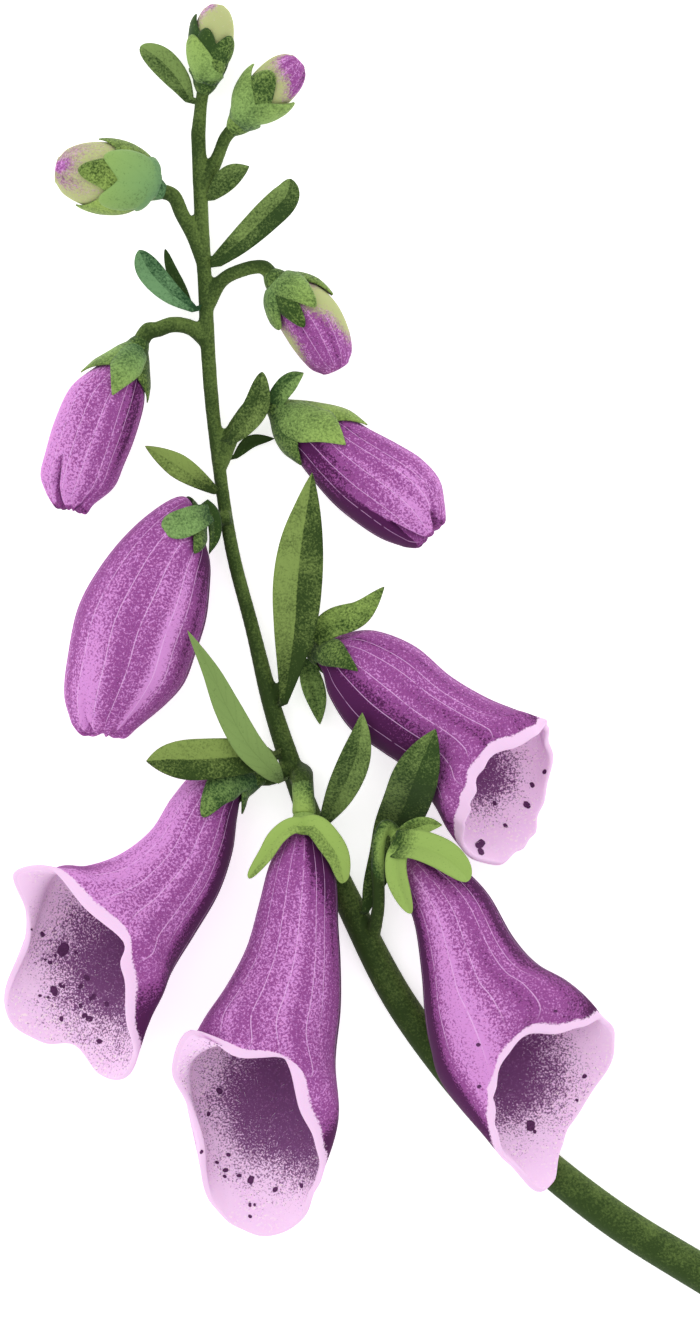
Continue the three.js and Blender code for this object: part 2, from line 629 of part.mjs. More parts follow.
// The lines along which the cup runs over the corolla: for each sepal its left shoulder, its tip, its right
// shoulder and the notch after it. Each gives an angle, a station and how far it stands off at a share of its
// length.
function sepalLines(corolla, spec) {
  const courses = [0, 1, 2, 3, 4].map((slot) => sepalCourse(corolla, slot, spec));
  const swung = ({ start, end }, along) => THREE.MathUtils.lerp(start, end, Math.min(SWING * along, 1));
  const before = (i) => (i > 0 ? courses[i - 1] : turned(courses[4], -1));
  const after = (i) => (i < 4 ? courses[i + 1] : turned(courses[0], 1));
  const notchTurn = (one, next, share) => (swung(one, SHOULDER * share) + swung(next, SHOULDER * share)) / 2;
  return courses.flatMap((course, i) => {
    const { reach, half, flare } = course;
    const shoulder = (share, edge) => {
      const [turn, station] = [swung(course, SHOULDER * share), SHOULDER * reach * share];
      const room = edge - turn;
      const spread = Math.min(half / corolla.radius(turn, station), 0.9 * Math.abs(room));
      const away = Math.sign(room) * THREE.MathUtils.lerp(0.5 * Math.abs(room), spread, share);
      return [turn + away, station, flare * (SHOULDER * share) ** 2];
    };
    const depth = (spec.notch ?? NOTCH) * Math.min(reach, after(i).reach);
    return [
      (share) => shoulder(share, notchTurn(before(i), course, share)),
      (share) => [swung(course, share), reach * share, flare * share ** 2],
      (share) => shoulder(share, notchTurn(course, after(i), share)),
      (share) => [notchTurn(course, after(i), share), depth * share, 0],
    ];
  });
}

// The points of the lines at a share of their length, raised so that the flat faces between them keep their
// height over the round corolla.
function sepalRow(corolla, lines, share, height) {
  const places = lines.map((line) => line(share));
  const count = places.length;
  return places.map(([turn, station, off], i) => {
    const gaps = [places[(i + count - 1) % count][0] - turn, places[(i + 1) % count][0] - turn];
    const widest = Math.max(...gaps.map((gap) => Math.acos(Math.cos(gap))));
    const rise = corolla.radius(turn, station) * (1 - Math.cos(widest / 2));
    return corolla.offset(turn, station, height + rise + off);
  });
}

function turned(course, turns) {
  const swing = turns * 2 * Math.PI;
  return { ...course, start: course.start + swing, end: course.end + swing };
}

// The calyx is one cup on the end of the flower stalk, cut into five sepals that lie along the corolla.
function calyxCup(corolla, spec) {
  const lines = sepalLines(corolla, spec);
  const row = (share, height) => sepalRow(corolla, lines, share, height);
  const base = corolla.centre(0);
  const aim = corolla.aim();
  const outer = SEPAL_GAP + SEPAL;
  const back = (distance, scale, height) => {
    const centre = base.clone().addScaledVector(aim, -distance);
    return row(0, height).map((point) => point.sub(base).multiplyScalar(scale).add(centre));
  };
  const end = back(RECEPTACLE_LENGTH, RECEPTACLE_END, outer).map((point) =>
    point.sub(base).projectOnPlane(aim).add(base).addScaledVector(aim, -RECEPTACLE_LENGTH));
  const rings = [
    end,
    back(RECEPTACLE_LENGTH / 2, RECEPTACLE_MIDDLE, outer),
    ...SEPAL_SHARES.map((share) => row(share, outer)),
    ...SEPAL_SHARES.map((share) => row(share, SEPAL_GAP)).reverse(),
    back(NODE_GAP, RECEPTACLE_INSIDE, SEPAL_GAP),
  ];
  return skin(rings, middle(rings[0]), base.addScaledVector(aim, -NODE_GAP));
}

function calyx(corolla, spec) {
  const cup = calyxCup(corolla, spec);
  return spec.spreading ? joined([cup, ...spec.spreading.map(blade)]) : cup;
}

function stalkRadius(corolla) {
  return STALK_RADIUS + STALK_PER_BELL * corolla.last * corolla.radius(0, corolla.last / 2);
}

// A flower stalk from inside the stem to just behind the receptacle.
function flowerStalk(corolla, { stalk, thin = stalkRadius(corolla) }) {
  const aim = corolla.aim();
  const behind = (distance) => corolla.centre(0).addScaledVector(aim, -distance).toArray();
  const end = RECEPTACLE_LENGTH + STALK_GAP;
  const stations = stalk.map(([x, y, z], i) => [x, y, z, i === 0 ? STALK_ROOT * thin : thin]);
  stations.push([...behind(end + 0.8), thin], [...behind(end), 1.1 * thin]);
  return tube(stations, STALK_SIDES, STEPS_PER_STATION);
}

// The stamens and the style lie along the roof of the bell, on one base at the end of its hollow.
function stamens(corolla) {
  const depth = PETAL_WALL + NODE_GAP + FILAMENT_RADIUS;
  const root = corolla.centre(OVARY_STATION);
  const pieces = FILAMENTS.map(([degrees, share]) => {
    const turn = THREE.MathUtils.degToRad(degrees);
    const last = share * corolla.last;
    const route = [root.toArray().concat(FILAMENT_RADIUS)];
    for (let station = FILAMENT_START; station < last; station += FILAMENT_STEP) {
      const point = corolla.offset(turn, station, -depth - FILAMENT_HANG);
      route.push(point.toArray().concat(FILAMENT_RADIUS));
    }
    const end = corolla.offset(turn, last, -depth - ANTHER_HANG);
    route.push(end.toArray().concat(FILAMENT_RADIUS));
    const thread = tube(route, FILAMENT_SIDES, 1);
    return degrees === STYLE_ANGLE ? [thread] : [thread, anther(end)];
  });
  return joined([ovary(corolla), ...pieces.flat()]);
}

function anther(centre) {
  const ball = new THREE.IcosahedronGeometry(ANTHER_RADIUS, 0);
  ball.deleteAttribute("normal").deleteAttribute("uv");
  return mergeVertices(ball.translate(centre.x, centre.y, centre.z));
}

function ovary(corolla) {
  const across = new THREE.Vector3(1, 0, 0);
  const rings = OVARY.map(([station, radius]) =>
    circle(corolla.centre(station), across, UP, radius, radius, FILAMENT_SIDES + 1));
  return skin(rings, middle(rings[0]), middle(rings.at(-1)));
}

function flower(spec, corolla, geometry, finish) {
  place("corolla_" + spec.number, geometry, finish);
  place("calyx_" + spec.number, calyx(corolla, spec), MATERIALS.calyx);
  return flowerStalk(corolla, spec);
}

const stalks = [
  ...BUDS.map((spec) => {
    const corolla = new Corolla(budSections(spec));
    return flower(spec, corolla, budCorolla(corolla, spec), MATERIALS.bud);
  }),
  ...CLOSED_BELLS.map((spec) => {
    const corolla = new Corolla(spec.rings.map(upright));
    return flower(spec, corolla, closedCorolla(corolla, spec), MATERIALS.petal);
  }),
  ...OPEN_BELLS.map((spec) => {
    const corolla = new Corolla([...spec.rings.map(upright), mouthEdge(spec)]);
    place("stamens_" + spec.number, stamens(corolla), MATERIALS.stamen);
    return flower(spec, corolla, openCorolla(corolla, BELL_SIDES), MATERIALS.petal);
  }),
];

place("stem", joined([tube(STEM, STEM_SIDES, STEPS_PER_STATION), ...stalks]), MATERIALS.stem);
BRACTS.forEach((bract, i) => place("bract_" + String(i + 1).padStart(2, "0"), blade(bract), MATERIALS.leaf));

spike.position.set(-CENTRE[0], -CENTRE[1], 0);

export default spike;
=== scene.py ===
import math

import bpy
import numpy as np
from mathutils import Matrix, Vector
from mathutils.bvhtree import BVHTree


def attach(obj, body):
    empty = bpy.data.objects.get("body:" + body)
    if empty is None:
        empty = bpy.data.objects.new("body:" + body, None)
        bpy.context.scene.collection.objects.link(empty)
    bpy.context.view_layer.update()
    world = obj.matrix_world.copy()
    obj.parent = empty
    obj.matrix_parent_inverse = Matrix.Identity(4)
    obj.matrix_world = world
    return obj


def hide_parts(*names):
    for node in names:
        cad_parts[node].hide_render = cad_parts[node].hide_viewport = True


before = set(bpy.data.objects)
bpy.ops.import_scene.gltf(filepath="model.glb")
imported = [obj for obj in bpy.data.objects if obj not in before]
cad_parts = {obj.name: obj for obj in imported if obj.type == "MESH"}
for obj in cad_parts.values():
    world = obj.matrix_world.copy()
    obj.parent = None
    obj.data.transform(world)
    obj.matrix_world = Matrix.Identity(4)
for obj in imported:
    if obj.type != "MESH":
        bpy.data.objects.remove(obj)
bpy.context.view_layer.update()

# The table, the light and the camera: a plain pale table top that glows a little from below, as a light table
# does, under broad and soft studio light. The camera looks straight down from far off, so that the spike
# shows as flat as a plant in a herbarium drawing.
MM = 0.001
DRAWING_CENTRE = (56.369, 81.869, 0.0)  # shapes are drawn in mm from the lower left corner of the picture
PICTURE_WIDTH, PICTURE_HEIGHT = 91.0 * MM, 171.73 * MM
FLOWER_LEVEL = 8 * MM
LENS, SENSOR = 600.0, 36.0
TABLE_REACH = 3.0
TABLE_GLOW = 0.6
SKY_STRENGTH = 0.92
LIGHTS = {  # the place, size and power of each
    "window_light": ((-0.6, 0.7, 1.3), 1.4, 5.0),
    "fill_light": ((0.9, -0.4, 1.2), 1.6, 1.5),
}
RELIEF, SHINE, LIGHT_DEPTH = 0.0003, 0.12, 0.001


def paint(red, green, blue):
    """A colour as a painter's swatch shows it, 0 to 255, turned into light for the shader."""
    swatch = [value / 255 for value in (red, green, blue)]
    return (*[v / 12.92 if v < 0.04045 else ((v + 0.055) / 1.055) ** 2.4 for v in swatch], 1.0)


def feed(tree, socket, value):
    """Gives a socket a plain value, or another node's output."""
    if isinstance(value, bpy.types.NodeSocket):
        tree.links.new(value, socket)
    else:
        socket.default_value = value


def add(tree, kind, settings=(), **sockets):
    """Adds a shader node. Sockets are named with _ for a space."""
    node = tree.nodes.new(kind)
    for key, value in dict(settings).items():
        setattr(node, key, value)
    for name, value in sockets.items():
        feed(tree, node.inputs[name.replace("_", " ")], value)
    return node


def calc(tree, operation, *values, kind="ShaderNodeMath", clamp=False):
    node = add(tree, kind, {"operation": operation})
    if clamp:
        node.use_clamp = True
    for socket, value in zip(node.inputs, values):
        feed(tree, socket, value)
    return node.outputs[0]


def mix(tree, share, first, second):
    node = add(tree, "ShaderNodeMix", {"data_type": "RGBA"})
    for place, value in ((0, share), (6, first), (7, second)):
        feed(tree, node.inputs[place], value)
    return node.outputs[2]


def stretch(tree, value, low, high, low_to=0.0, high_to=1.0, kind="LINEAR"):
    """Takes the run of a value from low to high to the run from low_to to high_to."""
    return add(tree, "ShaderNodeMapRange", {"interpolation_type": kind, "clamp": True}, Value=value,
               From_Min=low, From_Max=high, To_Min=low_to, To_Max=high_to).outputs["Result"]


def noise(tree, scale=1.0, detail=2.0, vector=None, **more):
    """Soft noise over a vector, or over the piece's own place in so many clouds to a metre."""
    if vector is None:
        vector = add(tree, "ShaderNodeTexCoord").outputs["Object"]
    return add(tree, "ShaderNodeTexNoise", Vector=vector, Scale=scale, Detail=detail, **more).outputs[0]


def finish_of(name, colour_of, roughness, bump=0.2, sheen=0.0, translucent=0.0):
    """A material: colour_of(tree) gives its colour and the height of its relief."""
    material = bpy.data.materials.new(name)
    material.use_nodes = True
    tree = material.node_tree
    tree.nodes.clear()
    colour, height = colour_of(tree)
    relief = add(tree, "ShaderNodeBump", Strength=bump, Distance=RELIEF, Height=height)
    shader = add(
        tree, "ShaderNodeBsdfPrincipled", Base_Color=colour, Roughness=roughness, Normal=relief.outputs[0],
        Sheen_Weight=sheen, Specular_IOR_Level=SHINE,
        Subsurface_Weight=translucent, Subsurface_Scale=LIGHT_DEPTH)
    add(tree, "ShaderNodeOutputMaterial", Surface=shader.outputs[0])
    return material


def new_mesh(name, points, faces, finishes, smooth=True):
    mesh = bpy.data.meshes.new(name)
    mesh.from_pydata(points, [], faces)
    mesh.polygons.foreach_set("use_smooth", [smooth] * len(faces))
    for finish in finishes:
        mesh.materials.append(finish)
    return mesh


def placed(name, data):
    thing = bpy.data.objects.new(name, data)
    bpy.context.collection.objects.link(thing)
    return thing


def floor_colour(tree):
    grain = noise(tree, 60.0, 3.0)
    return mix(tree, grain, paint(247, 247, 247), paint(250, 250, 250)), grain


table_finish = finish_of("pale_table", floor_colour, 0.8, bump=0.0)
glow = table_finish.node_tree.nodes["Principled BSDF"].inputs
glow["Emission Color"].default_value, glow["Emission Strength"].default_value = (1, 1, 1, 1), TABLE_GLOW
table_corners = [(x * TABLE_REACH, y * TABLE_REACH, 0) for x, y in ((-1, -1), (1, -1), (1, 1), (-1, 1))]
table_face = new_mesh("table_top", table_corners, [(0, 1, 2, 3)], [table_finish], smooth=False)
table_top = placed("table_top", table_face)

world = bpy.data.worlds.new("studio")
bpy.context.scene.world = world
world.use_nodes = True
sky = world.node_tree.nodes["Background"].inputs
sky["Color"].default_value, sky["Strength"].default_value = (1, 1, 1, 1), SKY_STRENGTH

for name, (place, size, power) in LIGHTS.items():
    light = placed(name, bpy.data.lights.new(name, "AREA"))
    light.data.size, light.data.energy = size, power
    light.location = place
    light.rotation_euler = (-Vector(place)).to_track_quat("-Z", "Y").to_euler()

camera = placed("camera", bpy.data.cameras.new("camera"))
camera.data.lens, camera.data.sensor_width = LENS, SENSOR
camera.data.clip_end = 20
camera.location = (
    PICTURE_WIDTH / 2 - DRAWING_CENTRE[0] * MM,
    PICTURE_HEIGHT / 2 - DRAWING_CENTRE[1] * MM,
    FLOWER_LEVEL + LENS / SENSOR * PICTURE_HEIGHT,
)
bpy.context.scene.camera = camera
bpy.context.scene.view_settings.view_transform = "Standard"

# The bracts: thirteen thin leaves along the stem, each folded a little along its midrib. They are soft and
# matt, with a lit half and a shaded half in painted light and shade, a grainy bloom and faint side veins, and
# each grows from the stem at its root, which is painted darker as shade.
STEM = [  # x, y, z and radius, from its cut end to the tip bud
    (111, -5.4, 2.5, 2.5), (101, 0.4, 2.45, 2.45), (91, 6.25, 2.4, 2.4), (80, 13.1, 2.3, 2.3),
    (70, 20.9, 2.15, 2.15), (62, 28.3, 2.1, 2.1), (52.3, 41, 2, 2), (45.5, 54, 2.1, 1.75),
    (41.5, 62.6, 2.4, 1.6), (38.6, 70, 2.7, 1.4), (35.3, 80, 2.9, 1.15), (32.8, 90, 3.1, 0.9),
    (30.2, 100, 3.2, 0.85), (28.6, 110, 3.2, 0.82), (27.3, 122, 3.2, 0.9), (26.6, 135, 3.2, 0.9),
    (26.1, 145, 3.2, 0.9), (25.7, 155, 3.2, 0.9),
]
BRACTS = [  # each spine is x, y, z points from root to tip
    {"spine": [
        (24.6, 158.9, 2.4), (23.2, 161.4, 2.4), (20.9, 164, 2.4), (18.2, 165.9, 2),
    ], "half": 1.8, "root": 0.35, "widest": 0.6, "sharpness": 0.5},
    {"spine": [
        (27.4, 146.2, 3.8), (29.8, 148.8, 4.8), (32.4, 150.2, 4.6),
    ], "half": 1.5, "root": 0.4},
    {"spine": [
        (28.2, 137.9, 3.8), (31.2, 140.4, 5), (34.6, 143.6, 5.4), (37.1, 146.2, 4.6), (37.8, 148.6, 3.6),
    ], "half": 2.0, "root": 0.45, "widest": 0.6, "sharpness": 0.6},
    {"spine": [
        (25.2, 131.6, 4.5), (22, 133.8, 5), (19.4, 136.6, 4.6), (18, 139.3, 3.6),
    ], "half": 1.7, "root": 0.3, "widest": 0.6, "sharpness": 0.6},
    {"spine": [
        (24.8, 131.6, 2.4), (23.5, 134.1, 2.3), (22.2, 136.8, 2.2), (21.4, 139.5, 1.9),
    ], "half": 0.8, "roll": 10, "sharpness": 0.6},
    {"spine": [
        (30.1, 114.4, 5), (31.7, 116.5, 6.4), (33.4, 119.2, 7.6), (34.1, 123.4, 7.6),
    ], "half": 1.7, "root": 0.3, "widest": 0.6, "sharpness": 0.6},
    {"spine": [
        (30.5, 112.4, 2.4), (32.6, 114.4, 2.2), (35.7, 114.8, 1.8),
    ], "half": 0.85, "root": 0.4, "roll": 10},
    {"spine": [
        (27.9, 108, 4.2), (24.3, 110.4, 6), (21.8, 112, 6.2), (18.8, 113.8, 5.6),
    ], "half": 1.6, "root": 0.35},
    {"spine": [
        (36.9, 80.3, 4.6), (37.8, 86, 7.2), (38.4, 91, 9), (38.7, 96, 9.8), (39.2, 101, 9.8),
        (39.9, 105.5, 9.6), (40.6, 110.3, 9.2),
    ], "half": 3.2, "root": 0.15, "widest": 0.5},
    {"spine": [
        (36.5, 70.2, 6), (35, 71.9, 8.8), (32.2, 75, 10.8), (29.6, 79.7, 11.4), (27.4, 84.5, 12.6),
        (24.4, 89.8, 14.6),
    ], "half": 1.9, "root": 0.25},
    {"spine": [
        (42.2, 65, 4.6), (44.1, 68.4, 7), (45.9, 72.4, 10), (46.8, 75.8, 12), (47.1, 79.1, 13.4),
    ], "half": 2.1, "root": 0.35},
    {"spine": [
        (35.4, 73.4, 5.8), (33.6, 73.4, 7.6), (30.5, 73.3, 9.6), (25.5, 73, 10.6), (21.8, 73, 10.6),
        (19, 72.8, 10),
    ], "half": 2.7, "root": 0.25, "widest": 0.6},
    {"spine": [
        (47.5, 53.2, 4.6), (48.5, 56.5, 4.6), (50.1, 60.6, 4.4), (51.3, 64, 5), (52.8, 67.4, 8.8),
        (54, 70.8, 13.3), (55.3, 74, 15.1), (56.6, 77, 15.6),
    ], "half": 3.1, "root": 0.15, "widest": 0.66, "fold": 0.12},
]
# painted light and shade: each bract's left and right halves are painted lit and shaded
BRACT_SHADED_HALVES = [  # how light the left and right halves are, 0 to 1, and how far the green leans to blue
    (0.5, 0.8, 0.2), (0.5, 0.4, 0.15), (0.55, 0.3, 0.15), (0.75, 0.45, 0.95), (0.12, 0.12, 0.2),
    (0.35, 0.5, 0.1), (0.12, 0.12, 0.1), (0.6, 0.85, 0.0), (0.7, 0.3, 0.05), (1.1, 1.0, 0.25),
    (0.42, 0.6, 0.15), (0.32, 0.76, 0.0), (0.42, 0.22, 0.15),
]
TIP_BUD = (26.4, 159.6, 3.4)
LEAF_THICK, MIDRIB_DEPTH, MIDRIB_WIDTH = 0.55, 0.13, 0.28
BLADE_END = 0.995  # where a blade's last ring lies before its point
LEAF_COLUMNS, LEAF_ROWS, FOOT_ROWS = 13, 44, 4
GREEN_GRAINS = 3200.0


def pulls(share, count, loop=False):
    """How much each of a row of points pulls on the smooth curve through them, at shares of its length."""
    place = np.atleast_1d(share) * (count if loop else count - 1)
    first = np.floor(place).astype(int)
    if not loop:
        first = np.clip(first, 0, count - 2)
    w = place - first
    weights = (
        -w / 2 + w**2 - w**3 / 2,
        1 - 2.5 * w**2 + 1.5 * w**3,
        w / 2 + 2 * w**2 - 1.5 * w**3,
        -(w**2) / 2 + w**3 / 2,
    )
    table = np.zeros((len(place), count + 2))
    rows = np.arange(len(place))
    for step, weight in enumerate(weights):
        column = (first + step - 1) % count + 1 if loop else first + step
        np.add.at(table, (rows, column), weight)
    table[:, 1] += 2 * table[:, 0]
    table[:, 2] -= table[:, 0]
    table[:, count] += 2 * table[:, count + 1]
    table[:, count - 1] -= table[:, count + 1]
    return table[:, 1:-1]


def curve(points, share, loop=False):
    """The smooth curve through points, or the smooth skin through rings, at shares of its length."""
    return np.tensordot(pulls(share, len(points), loop), np.asarray(points, float), 1)


def unit(vectors):
    return vectors / np.maximum(np.linalg.norm(vectors, axis=-1, keepdims=True), 1e-12)


def heading(points, share):
    return unit(curve(points, share + 1e-4) - curve(points, share - 1e-4))


def ease(value, low, high):
    share = np.clip((value - low) / (high - low), 0, 1)
    return share * share * (3 - 2 * share)


def sleeve(rings, around, along, colour, end=None, skin=0):
    """The closed skin over a row of rings: its points, its faces, where each corner lies, what is painted on
    each point and which finish each face has."""
    rows, columns = rings.shape[:2]
    end = rings[-1].mean(0) if end is None else np.asarray(end, float)
    points = np.concatenate([rings.reshape(-1, 3), rings[:1].mean(1), end[None]])
    row, column = np.meshgrid(np.arange(rows - 1), np.arange(columns), indexing="ij")
    steps = ((0, 0), (0, 1), (1, 1), (1, 0))  # in rows and columns, to the corners of a face
    quads = np.stack([(row + i) * columns + (column + j) % columns for i, j in steps], -1).reshape(-1, 4)
    corners = np.stack([np.stack([around[column + j], along[row + i]], -1) for i, j in steps], -2)
    faces, places = quads.tolist(), corners.reshape(-1, 4, 2).tolist()
    base, last = rows * columns, (rows - 1) * columns
    for i in range(columns):
        j = (i + 1) % columns
        faces += [[base, j, i], [base + 1, last + i, last + j]]
        places += [
            [[around[i], along[0]], [around[i + 1], along[0]], [around[i], along[0]]],
            [[around[i], along[-1]], [around[i], along[-1]], [around[i + 1], along[-1]]],
        ]
    a, b, c, d = points[quads].swapaxes(0, 1)
    if np.sum(np.cross(a, b) * c) + np.sum(np.cross(a, c) * d) < 0:
        faces = [face[::-1] for face in faces]
        places = [place[::-1] for place in places]
    colour = np.broadcast_to(colour, (rows, columns, 4)).reshape(-1, 4)
    colour = np.concatenate([colour, colour[:1], colour[-1:]])
    skins = np.broadcast_to(skin, (rows - 1,))
    materials = np.repeat(skins, columns).tolist() + [int(skins[0]), int(skins[-1])] * columns
    return points, faces, places, colour, materials


def paint_points(mesh, colours):
    painted = mesh.attributes.new("painted", "FLOAT_COLOR", "POINT")
    painted.data.foreach_set("color", colours.astype(np.float32).ravel())


def skin_mesh(name, parts, finishes):
    """The mesh of one piece of the plant, from its skins."""
    points, faces, places, colours, materials = [], [], [], [], []
    for part in parts:
        shift = sum(len(p) for p in points)
        points.append(part[0])
        faces += [[i + shift for i in face] for face in part[1]]
        places += part[2]
        colours.append(part[3])
        materials += part[4]
    mesh = new_mesh(name, ((np.concatenate(points) - DRAWING_CENTRE) * MM).tolist(), faces, finishes)
    mesh.polygons.foreach_set("material_index", materials)
    where = mesh.uv_layers.new(name="where")
    where.data.foreach_set("uv", [number for face in places for corner in face for number in corner])
    paint_points(mesh, np.concatenate(colours))
    return mesh


def put(name, mesh, node=None):
    """Puts one piece of the plant in its place. It rides with the plant, and may stand for a node of it."""
    piece = placed(name, mesh)
    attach(piece, "root")
    if node:
        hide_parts(node)
    return piece


def grown(name, parts, finishes, node):
    return put(name, skin_mesh(name, parts, finishes), node)


def leaf_width(share, root, widest, sharpness):
    rising = root + (1 - root) * np.sin(math.pi / 2 * np.minimum(share / widest, 1))
    falling = np.cos(math.pi / 2 * np.clip((share - widest) / (1 - widest), 0, 1)) ** sharpness
    return np.where(share < widest, rising, falling)


def leaf(spine, half, root=0.45, widest=0.45, roll=0.0, fold=0.3, sharpness=0.85, foot=None,
         sides=(0.5, 0.5, 0.0), root_shade=0.5):
    """A thin leaf: its rings run over the upper face from left to right and back under it. Its root reaches
    on to the foot, the place on the stem that it grows from, and is painted darker there as shade. Its halves
    are painted lit and shaded by sides, which also gives the lean to blue."""
    share = 1 - (1 - np.linspace(0, BLADE_END, LEAF_ROWS)) ** 1.15
    centre, ahead = curve(spine, share), heading(spine, share)
    side = unit(np.stack([ahead[:, 1], -ahead[:, 0], 0 * ahead[:, 0]], 1))
    lean = math.radians(roll)
    side = side * math.cos(lean) + np.cross(ahead, side) * math.sin(lean)
    up = np.cross(side, ahead)
    width = half * leaf_width(share, root, widest, sharpness)
    across = np.linspace(-1, 1, LEAF_COLUMNS)
    across = np.concatenate([across, across[::-1]])
    face = np.repeat([1.0, -1.0], LEAF_COLUMNS)
    taper = np.clip(width / half, 0.25, 1)[:, None]
    level = face * LEAF_THICK / 2 * np.sqrt(1 - 0.8 * across**2) * taper
    level = level - MIDRIB_DEPTH * np.exp(-((across * width[:, None] / MIDRIB_WIDTH) ** 2)) * taper
    lift = fold * np.sqrt((across * width[:, None]) ** 2 + 0.04) - fold * 0.2
    rings = (centre[:, None] + side[:, None] * (across * width[:, None])[..., None]
             + up[:, None] * (lift + level)[..., None])
    if foot is not None:
        reach = np.linspace(1, 0, FOOT_ROWS + 1)[:-1, None, None]
        rings = np.concatenate([rings[0] + reach * (np.asarray(foot) - centre[0]), rings])
        share = np.concatenate([np.zeros(FOOT_ROWS), share])
    # sides: how lit or shaded each half is painted, and the lean to blue
    left, right, blue = sides
    # painted shade: darker at the root, where the leaf meets the stem or the calyx
    shade = 1 - root_shade * (1 - ease(share, 0.0, 0.35))
    colour = np.stack([left * shade, right * shade, blue + 0 * share, share], -1)[:, None]
    around = np.append((across + 1) / 2, 0.0)
    return sleeve(rings, around, share, colour, end=curve(spine, 1.0)[0])


def group(name, inputs, build):
    """A shader node group. build(tree, inputs) returns its one output."""
    tree = bpy.data.node_groups.new(name, "ShaderNodeTree")
    for label, kind, value in inputs:
        socket = tree.interface.new_socket(label, in_out="INPUT", socket_type=kind)
        if value is not None:
            socket.default_value = value
    tree.interface.new_socket("Mask", in_out="OUTPUT", socket_type="NodeSocketFloat")
    source, sink = tree.nodes.new("NodeGroupInput"), tree.nodes.new("NodeGroupOutput")
    tree.links.new(build(tree, source.outputs), sink.inputs[0])
    return tree


def stipple_mask(tree, inputs):
    coords = add(tree, "ShaderNodeTexCoord").outputs["Object"]
    moved = calc(tree, "ADD", coords, inputs["Offset"], kind="ShaderNodeVectorMath")
    level = stretch(tree, noise(tree, inputs["Grains"], 2.0, moved, Roughness=0.75), 0.3, 0.7)
    reach = calc(tree, "MULTIPLY", inputs["Share"], calc(tree, "ADD", inputs["Softness"], 1.0))
    return calc(tree, "DIVIDE", calc(tree, "SUBTRACT", reach, level), inputs["Softness"], clamp=True)


# Two colours meet in fine grains: a share of the grains shows the second one.
STIPPLE = group("stipple", [
    ("Share", "NodeSocketFloat", 0.5),
    ("Grains", "NodeSocketFloat", 3600.0),
    ("Softness", "NodeSocketFloat", 0.5),
    ("Offset", "NodeSocketVector", None),
], stipple_mask)


def stipple(tree, share, grains, softness, offset=0.0):
    return add(tree, "ShaderNodeGroup", {"node_tree": STIPPLE}, Share=share, Grains=grains, Softness=softness,
               Offset=(offset, offset, offset)).outputs[0]


def side_veins(tree, inputs):
    place = add(tree, "ShaderNodeSeparateXYZ", Vector=inputs["Where"]).outputs
    away = calc(tree, "ABSOLUTE", calc(tree, "SUBTRACT", place["X"], 0.5))
    climb = calc(tree, "SUBTRACT", place["Y"], calc(tree, "MULTIPLY", away, 0.35))
    turns = calc(tree, "MULTIPLY", climb, inputs["Count"])
    ripple = calc(tree, "ABSOLUTE", calc(tree, "SUBTRACT", calc(tree, "FRACT", turns), 0.5))
    vein = stretch(tree, ripple, 0.0, 0.16, 1.0, 0.0, "SMOOTHSTEP")
    midrib = stretch(tree, away, 0.0, 0.035, 1.0, 0.0, "SMOOTHSTEP")
    return calc(tree, "MAXIMUM", calc(tree, "MULTIPLY", vein, 0.45), midrib)


LEAF_VEINS = group("leaf_veins", [
    ("Where", "NodeSocketVector", None),
    ("Count", "NodeSocketFloat", 9.0),
], side_veins)


def painted_on(tree):
    """What is painted on a piece, in three channels."""
    painted = add(tree, "ShaderNodeAttribute", {"attribute_name": "painted"})
    return add(tree, "ShaderNodeSeparateColor", Color=painted.outputs["Color"]).outputs


def green_colour(light, light_blue, dark, dark_blue, veins=0.0):
    """A painted green: light and dark grains, the share of each from what is painted on the piece."""

    def colour_of(tree):
        channel = painted_on(tree)
        where = add(tree, "ShaderNodeUVMap", {"uv_map": "where"}).outputs[0]
        across = add(tree, "ShaderNodeSeparateXYZ", Vector=where).outputs["X"]
        # each half takes its painted light or shade
        tone = add(tree, "ShaderNodeMix", {"data_type": "FLOAT"})
        right_half = stretch(tree, across, 0.49, 0.51)
        for place, value in ((0, right_half), (2, channel["Red"]), (3, channel["Green"])):
            feed(tree, tone.inputs[place], value)
        cloud = stretch(tree, noise(tree, 220.0), 0.3, 0.7, -0.14, 0.14)
        share = stipple(tree, calc(tree, "ADD", tone.outputs[0], cloud), GREEN_GRAINS, 1.1)
        pale = mix(tree, channel["Blue"], light, light_blue)
        deep = mix(tree, channel["Blue"], dark, dark_blue)
        colour = mix(tree, share, deep, pale)
        speck = stipple(tree, 0.12, 0.8 * GREEN_GRAINS, 0.15, 0.37)
        colour = mix(tree, calc(tree, "MULTIPLY", speck, 0.35), colour, deep)
        vein = add(tree, "ShaderNodeGroup", {"node_tree": LEAF_VEINS}, Where=where).outputs[0]
        colour = mix(tree, calc(tree, "MULTIPLY", vein, 0.12 * veins), colour, deep)
        return colour, calc(tree, "SUBTRACT", share, calc(tree, "MULTIPLY", vein, veins))

    return colour_of


leaf_green = green_colour(
    paint(130, 152, 78), paint(108, 150, 104), paint(46, 66, 22), paint(36, 74, 42), veins=1.0)
leaf_finish = finish_of("leaf", leaf_green, 0.7, sheen=0.1)
stem_line = curve([*np.array(STEM)[:, :3], TIP_BUD], np.linspace(0, 1, 400))
for i, (bract, sides) in enumerate(zip(BRACTS, BRACT_SHADED_HALVES), start=1):
    foot = stem_line[np.linalg.norm(stem_line - bract["spine"][0], axis=1).argmin()]
    grown(f"leaf_{i:02}", [leaf(**bract, foot=foot, sides=sides)], [leaf_finish], f"bract_{i:02}")

